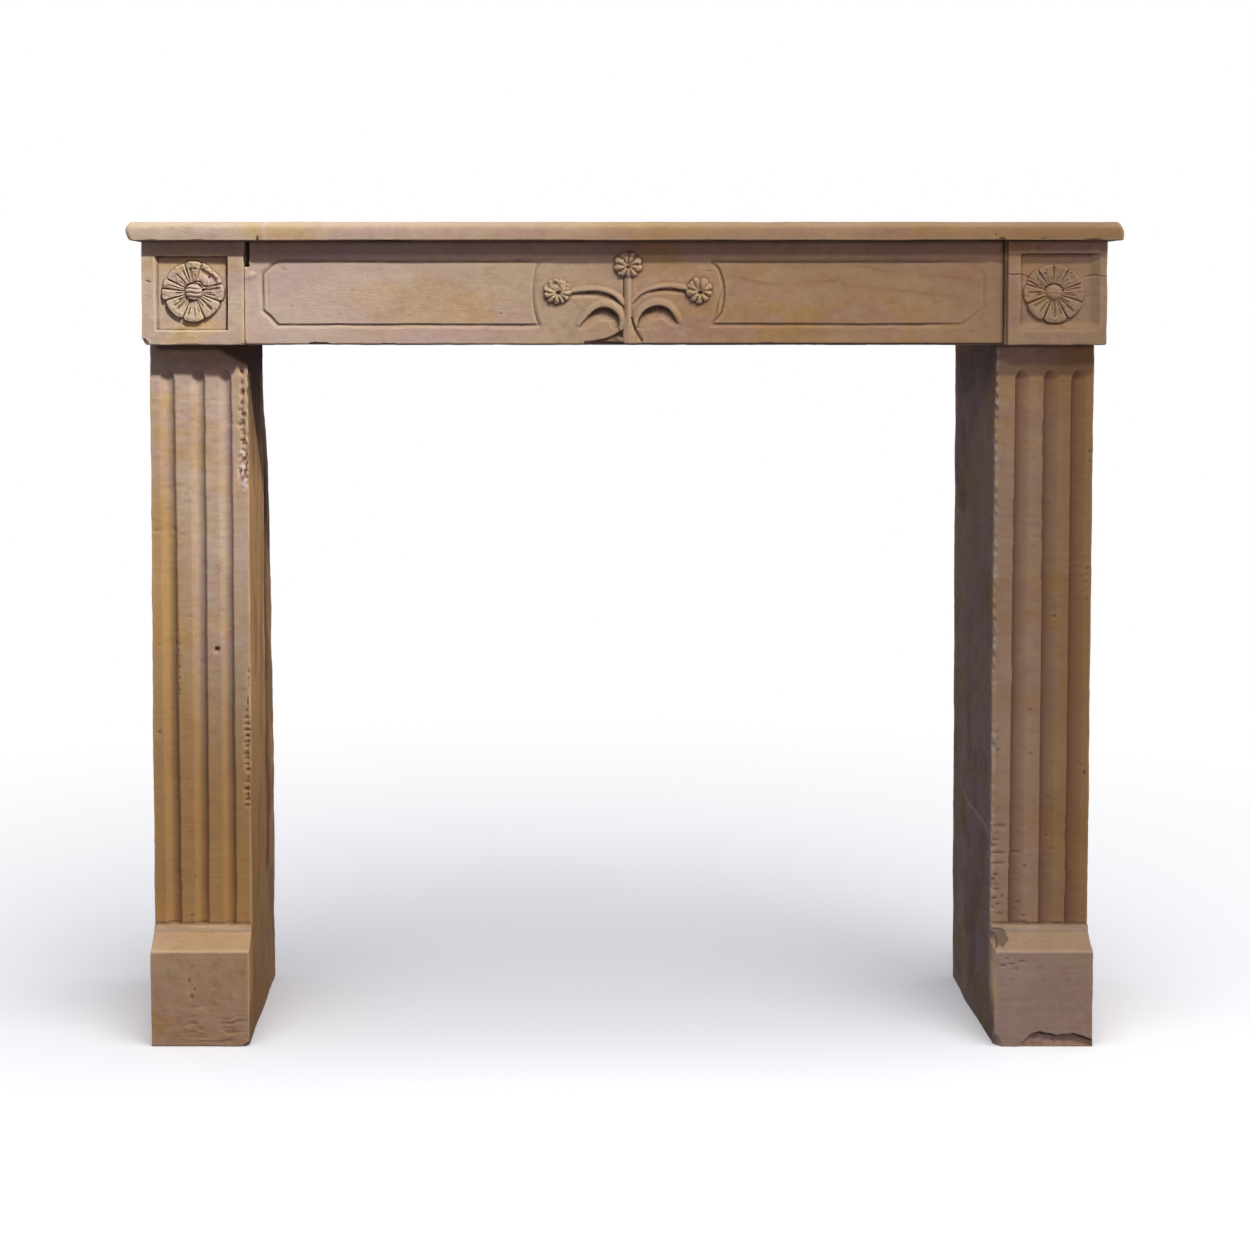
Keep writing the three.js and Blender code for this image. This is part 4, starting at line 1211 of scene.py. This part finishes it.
def left_jamb_details():
    """What sets the left jamb apart: "flute" holds its flutes' depth and their skew, the entry after it how
    much painted shade their left and right sides get, and "tooling" the heights between which chisel strokes
    lie, and their depth."""
    rng = np.random.default_rng(31)
    inner = JAMB_LEFT[1][0]
    chips = [((inner + 1, JAMB_LEFT[0][1] - 1, -2), (9, 11, 9), 0.4)]
    for n in range(8):
        t = n / 7
        size = 3.6 + 2.0 * abs(math.sin(5 * t + 1))
        chips.append(((inner + 1.5, SHAFT_Y - 1.5, 895 - 140 * t), (size, size, 1.4 * size), 0.7 * t))
    return {
        "on_right": False,
        "flute": (7.0, 0),
        "fluted": (0, 0.5),
        "pits": all_pits(rng, LEFT_PITS, LEFT_ROWS),
        "chips": chips,
        "front": left_jamb_front,
        "sides": left_jamb_sides,
        "stains": left_jamb_stains,
        "tooling": [(4, 62, 2.4), (200, 330, 0.6), (700, 880, 0.6)],
    }


def right_jamb_details():
    """The same for the right jamb."""
    rng = np.random.default_rng(37)
    pits = all_pits(rng, RIGHT_PITS, RIGHT_ROWS)
    inner = JAMB_RIGHT[0][0]
    front = JAMB_RIGHT[0][1]
    chips = [
        ((inner - 1.5, SHAFT_Y - 1.5, 396), (9, 8, 17), 0.25),
        ((inner - 1, SHAFT_Y - 1, 430), (4, 4, 7), 0),
        ((inner - 1, front - 1, 3), (11, 12, 12), 0.3),
        ((inner - 1.5, front + 3, 118), (5, 9, 14), 0.1),
        ((inner - 1.5, front + 18, 140), (8, 16, 12), 0.3),
    ]
    for n in range(26):
        t = n / 25
        size = 3.2 + 2.4 * abs(math.sin(9 * t)) * rng.uniform(0.6, 1.2)
        chips.append(((inner - 0.6, SHAFT_Y - 0.6, 900 - 395 * t), (size, size, 1.3 * size), 0.5 * t))
    for n in range(12):
        t = n / 11
        size = rng.uniform(1.8, 3.4)
        chips.append(((inner - 0.8, SHAFT_Y - 0.8, 350 - 190 * t), (size, size, 2 * size), 0.5 * t))
    return {
        "on_right": True,
        "flute": (4.0, 0.4),
        "fluted": (1.0, 0),
        "pits": pits,
        "chips": chips,
        "front": right_jamb_front,
        "sides": right_jamb_sides,
        "stains": right_jamb_stains,
        "tooling": [(20, 112, 0.35), (200, 330, 0.4), (560, 880, 0.35)],
    }


def make_jambs(material):
    make_jamb("jamb_left", JAMB_LEFT, FLUTES_LEFT, material, 301, left_jamb_details())
    make_jamb("jamb_right", JAMB_RIGHT, FLUTES_RIGHT, material, 351, right_jamb_details())


# The stone's finish

class Graph:
    """The node graph of a material or a world, with short calls to add nodes."""

    def __init__(self, owner):
        owner.use_nodes = True
        self.tree = owner.node_tree
        self.tree.nodes.clear()

    def add(self, kind, inputs=None, **settings):
        """Adds a node. Each input is another node's output or a plain value."""
        node = self.tree.nodes.new(kind)
        for key, value in settings.items():
            setattr(node, key, value)
        for key, value in (inputs or {}).items():
            if isinstance(value, bpy.types.NodeSocket):
                self.tree.links.new(value, node.inputs[key])
            else:
                node.inputs[key].default_value = value
        return node

    def noise(self, place, scale, detail=3, rough=0.55, distort=0.0):
        inputs = {"Vector": place, "Scale": scale, "Detail": detail}
        inputs |= {"Roughness": rough, "Distortion": distort}
        return self.add("ShaderNodeTexNoise", inputs).outputs["Fac"]

    def stretch(self, place, scale):
        return self.add("ShaderNodeMapping", {"Vector": place, "Scale": scale}).outputs["Vector"]

    def math(self, operation, a, b=0.0):
        return self.add("ShaderNodeMath", {0: a, 1: b}, operation=operation).outputs[0]

    def remap(self, value, low, high, to_low=0.0, to_high=1.0):
        inputs = {"Value": value, "From Min": low, "From Max": high, "To Min": to_low, "To Max": to_high}
        return self.add("ShaderNodeMapRange", inputs, interpolation_type="SMOOTHSTEP").outputs["Result"]

    def mix(self, factor, a, b):
        return self.add("ShaderNodeMix", {0: factor, 6: a, 7: b}, data_type="RGBA").outputs[2]

    def stain(self, shade, name, strength, tint):
        """Lays a colour on as far as the vertices' value of that name says."""
        share = self.add("ShaderNodeAttribute", attribute_name=name).outputs["Fac"]
        return self.mix(self.math("MULTIPLY", share, strength), shade, tint)


def colour(red, green, blue):
    """An sRGB colour given from 0 to 255, as linear RGBA."""
    channels = [c / 255 for c in (red, green, blue)]
    return (*[c / 12.92 if c <= 0.04045 else ((c + 0.055) / 1.055) ** 2.4 for c in channels], 1)


BROWN = colour(146, 110, 78)
# The vertices' value that each stain follows, its strength and its colour
STAINS = [
    ("vein", 0.5, colour(138, 100, 68)),
    ("rosy", 0.6, colour(206, 180, 164)),
    ("golden", 0.85, colour(194, 150, 86)),
    # This brown also paints shade along the step on the left jamb's inner face
    ("dirt_and_shade", 0.85, colour(92, 60, 36)),
    ("grey", 0.95, colour(78, 76, 84)),
]
# Laid after the painted shade in the hollows: painted shade on the flutes' sides, paler wear with painted
# highlight, pale patches and scrapes with some painted highlight, red scrapes, and painted shade with some
# smoke-blackening
WEAR_AND_PAINTED_LIGHT = [
    ("fluted", 0.85, colour(112, 76, 64)),
    ("wear_and_highlight", 0.5, colour(238, 214, 170)),
    ("pale", 0.7, colour(238, 226, 208)),
    ("red", 0.75, colour(140, 66, 46)),
    ("shade_and_soot", 0.9, colour(34, 24, 20)),
]


def stone_patches(g, place):
    """Broad patches of colour, longer than they are high, a fine mottle, and veins that run almost level."""
    patch_pink = g.noise(g.stretch(place, (7, 7, 12)), 1.0, 4, 0.6, 0.4)
    patch_gold = g.noise(g.stretch(place, (5, 5, 9)), 1.3, 4, 0.6, 0.3)
    shade = g.mix(g.remap(patch_pink, 0.44, 0.6, 0, 0.85), colour(204, 178, 146), colour(200, 167, 150))
    shade = g.mix(g.remap(patch_gold, 0.5, 0.64, 0, 0.8), shade, colour(202, 166, 108))
    mottle = g.noise(g.stretch(place, (60, 60, 90)), 1.0, 5, 0.65)
    shade = g.mix(g.remap(mottle, 0.5, 0.72, 0, 0.35), shade, colour(224, 206, 180))
    shade = g.mix(g.remap(mottle, 0.48, 0.3, 0, 0.3), shade, BROWN)
    wave = g.noise(g.stretch(place, (3.2, 3.2, 17)), 1.0, 4, 0.55, 0.5)
    thin = g.math("ABSOLUTE", g.math("SUBTRACT", wave, 0.5))
    thin = g.math("MULTIPLY", g.remap(thin, 0.02, 0.0), g.remap(g.noise(place, 6.0, 2), 0.5, 0.64))
    return g.mix(g.math("MULTIPLY", thin, 0.22), shade, BROWN), mottle


def stone_wear_and_painted_light(g, place, shade):
    """Stains, then painted shade in the hollows, and then painted shade on the flutes' sides, paler wear
    with painted highlight, scrapes, and painted shade with some smoke-blackening.
    """
    for name, strength, tint in STAINS:
        shade = g.stain(shade, name, strength, tint)
    # Painted shade in the hollows, patchy in strength
    hollow_shade = g.remap(g.noise(place, 70.0, 3), 0.35, 0.6, 0.5, 0.85)
    shade = g.stain(shade, "hollow", hollow_shade, colour(86, 58, 46))
    for name, strength, tint in WEAR_AND_PAINTED_LIGHT:
        shade = g.stain(shade, name, strength, tint)
    return shade


def stone_grain(g, place, shade, mottle):
    """Grain, pits and level strokes of the mason's drag in patches: the colour, and the bumps' height."""
    grain = g.noise(place, 700.0, 3, 0.7)
    shade = g.mix(g.remap(grain, 0.3, 0.7, 0.0, 0.2), shade, BROWN)
    cells = g.add("ShaderNodeTexVoronoi", {"Vector": place, "Scale": 140.0, "Randomness": 1.0})
    pit_mask = g.remap(g.noise(place, 30.0, 3), 0.62, 0.74)
    pits = g.math("MULTIPLY", g.remap(cells.outputs["Distance"], 0.3, 0.1), pit_mask)
    shade = g.mix(g.math("MULTIPLY", pits, 0.4), shade, colour(110, 82, 60))
    strokes = g.noise(g.stretch(place, (45, 45, 520)), 1.0, 3, 0.6)
    dragged = g.remap(g.noise(g.stretch(place, (9, 9, 14)), 1.0, 3), 0.42, 0.62, 0.25, 1.0)
    strokes = g.math("MULTIPLY", strokes, dragged)
    shade = g.mix(g.remap(strokes, 0.45, 0.2, 0.0, 0.12), shade, BROWN)
    bumps = g.math("ADD", g.math("MULTIPLY", grain, 0.4), g.math("MULTIPLY", strokes, 0.8))
    bumps = g.math("ADD", bumps, g.math("MULTIPLY", mottle, 0.9))
    return shade, g.math("SUBTRACT", bumps, g.math("MULTIPLY", pits, 1.6))


def limestone():
    material = bpy.data.materials.new("limestone")
    g = Graph(material)
    place = g.add("ShaderNodeTexCoord").outputs["Object"]
    shade, mottle = stone_patches(g, place)
    shade = stone_wear_and_painted_light(g, place, shade)
    shade, bumps = stone_grain(g, place, shade, mottle)
    bump = g.add("ShaderNodeBump", {"Height": bumps, "Strength": 0.6, "Distance": 0.0009})
    inputs = {"Base Color": shade, "Roughness": g.remap(mottle, 0.3, 0.7, 0.75, 0.9)}
    inputs |= {"Specular IOR Level": 0.25, "Normal": bump.outputs["Normal"]}
    shader = g.add("ShaderNodeBsdfPrincipled", inputs)
    g.add("ShaderNodeOutputMaterial", {"Surface": shader.outputs["BSDF"]})
    return material


# The studio

WHITE = (1, 1, 1, 1)
FLOOR_HALF = 12.0
FLOOR_COLOUR = (0.86, 0.855, 0.85, 1)
# From where to where the floor turns white, measured from its middle
FLOOR_FADE = (0.5, 2.2)
FILL_COLOUR = (0.62, 0.66, 1.0, 1)
FILL_STRENGTH = 0.2


def make_floor():
    """A pale floor that brightens into the white surroundings away from the stones."""
    mesh = bpy.data.meshes.new("floor")
    corners = [(-1, -1), (1, -1), (1, 1), (-1, 1)]
    mesh.from_pydata([(x * FLOOR_HALF, y * FLOOR_HALF, 0) for x, y in corners], [], [(0, 1, 2, 3)])
    floor = add_object("floor", mesh)
    material = bpy.data.materials.new("pale_floor")
    g = Graph(material)
    place = g.add("ShaderNodeTexCoord").outputs["Object"]
    away = g.add("ShaderNodeVectorMath", {0: place}, operation="LENGTH").outputs["Value"]
    diffuse = g.add("ShaderNodeBsdfDiffuse", {"Color": FLOOR_COLOUR})
    glow = g.add("ShaderNodeEmission", {"Color": WHITE, "Strength": 1.0})
    fade = g.remap(away, *FLOOR_FADE)
    mixed = g.add("ShaderNodeMixShader", {0: fade, 1: diffuse.outputs[0], 2: glow.outputs[0]})
    g.add("ShaderNodeOutputMaterial", {"Surface": mixed.outputs[0]})
    mesh.materials.append(material)
    floor.visible_diffuse = False
    floor.visible_glossy = False
    FLOOR.objects.link(floor)


def make_world():
    """White to look at, and a weak cool fill on the stone."""
    world = bpy.data.worlds.new("studio")
    bpy.context.scene.world = world
    g = Graph(world)
    seen = g.add("ShaderNodeBackground", {"Color": WHITE, "Strength": 1.0})
    fill = g.add("ShaderNodeBackground", {"Color": FILL_COLOUR, "Strength": FILL_STRENGTH})
    to_camera = g.add("ShaderNodeLightPath").outputs["Is Camera Ray"]
    mixed = g.add("ShaderNodeMixShader", {0: to_camera, 1: fill.outputs[0], 2: seen.outputs[0]})
    g.add("ShaderNodeOutputWorld", {"Surface": mixed.outputs[0]})


def aim(thing, target):
    direction = Vector(target) - thing.location
    thing.rotation_euler = direction.to_track_quat("-Z", "Y").to_euler()


def add_lamp(name, kind, place, target, power, tint, only_on):
    light = bpy.data.lights.new(name, kind)
    light.energy = power
    light.color = tint
    lamp = add_object(name, light)
    lamp.location = place
    aim(lamp, target)
    lamp.light_linking.receiver_collection = only_on
    return light


WIDE_TINT = (1.0, 0.92, 0.82)
LEFT_TINT = (0.78, 0.86, 1.0)
SIDE_TINT = (1.0, 0.88, 0.70)
FOOT_TINT = (1.0, 0.75, 0.45)
WARM_TINT = (1.0, 0.6, 0.5)
EDGE_TINT = (1.0, 0.9, 0.78)
# The two key lights share one place, so that they throw one shadow
KEY_PLACE = (1.75, -4.45, 5.8)
SPOTS = [
    # name, place, target, power, tint, the cone's angle, how softly it ends and the lamp's radius
    ("key_wide", KEY_PLACE, (0, 0, 0.5), 520, WIDE_TINT, 40, 0.6, 0.2),
    ("key_left", KEY_PLACE, (-0.95, 0, 1.4), 2450, LEFT_TINT, 19.6, 1.0, 0.2),
    ("plinth_left", (-0.3, -2.6, 3.0), (-0.575, -0.14, 0.02), 300, FOOT_TINT, 5.2, 1.0, 0.2),
    ("splay_right", (0.5, -2.4, 3.6), (0.6, -0.12, 0.145), 90, FOOT_TINT, 5, 1.0, 0.2),
    ("side", (3.2, -2.2, 3.3), (-0.53, 0, 0.44), 320, SIDE_TINT, 10.5, 0.7, 0.2),
    ("low_front", (-0.9, -4.6, 4.2), (0.4, 0, 0.9), 165, WIDE_TINT, 22, 1.0, 0.3),
]
# Weak low suns for the sides that the photo doesn't show: where each comes from, and its strength
EDGE_SUNS = {"left": ((-5, 0, 0.4), 1.0), "right": ((5, 0, 0.4), 1.0), "back": ((0, 5, 1.2), 1.1)}


def make_lights():
    """Lamps on the stones alone, strongest at the upper left, and a broad soft light for the floor."""
    for name, place, target, power, tint, angle, softness, radius in SPOTS:
        light = add_lamp(name, "SPOT", place, target, power, tint, STONES)
        light.spot_size = math.radians(angle)
        light.spot_blend = softness
        light.shadow_soft_size = radius
    warm = add_lamp("warm_fill", "AREA", (2.2, -2.8, 0.9), (0.4, 0, 0.7), 8, WARM_TINT, STONES)
    warm.size = 1.6
    for name, (place, strength) in EDGE_SUNS.items():
        sun = add_lamp(f"edge_{name}", "SUN", place, (0, 0, 0), strength, EDGE_TINT, STONES)
        sun.angle = math.radians(2)
    overhead = add_lamp("floor_light", "AREA", (0.3, -1.2, 4.5), (0, 0, 0), 330, WHITE[:3], FLOOR)
    overhead.shape = "DISK"
    overhead.size = 5.0


CAMERA_PLACE = (-0.12883, -2.94032, 0.98403)
CAMERA_PITCH = 2.64
LENS = 61.18
SENSOR = 36
SHIFT = (0.0795, -0.173)


def make_camera():
    data = bpy.data.cameras.new("camera")
    data.lens = LENS
    data.sensor_width = SENSOR
    data.shift_x, data.shift_y = SHIFT
    camera = add_object("camera", data)
    camera.location = CAMERA_PLACE
    camera.rotation_euler = (math.radians(90 - CAMERA_PITCH), 0, 0)
    bpy.context.scene.camera = camera


stone_finish = limestone()
make_shelf(stone_finish)
make_blocks(stone_finish)
make_lintel(stone_finish)
make_jambs(stone_finish)
make_floor()
make_world()
make_lights()
make_camera()
bpy.context.scene.view_settings.view_transform = "Standard"
bpy.context.scene.view_settings.look = "None"
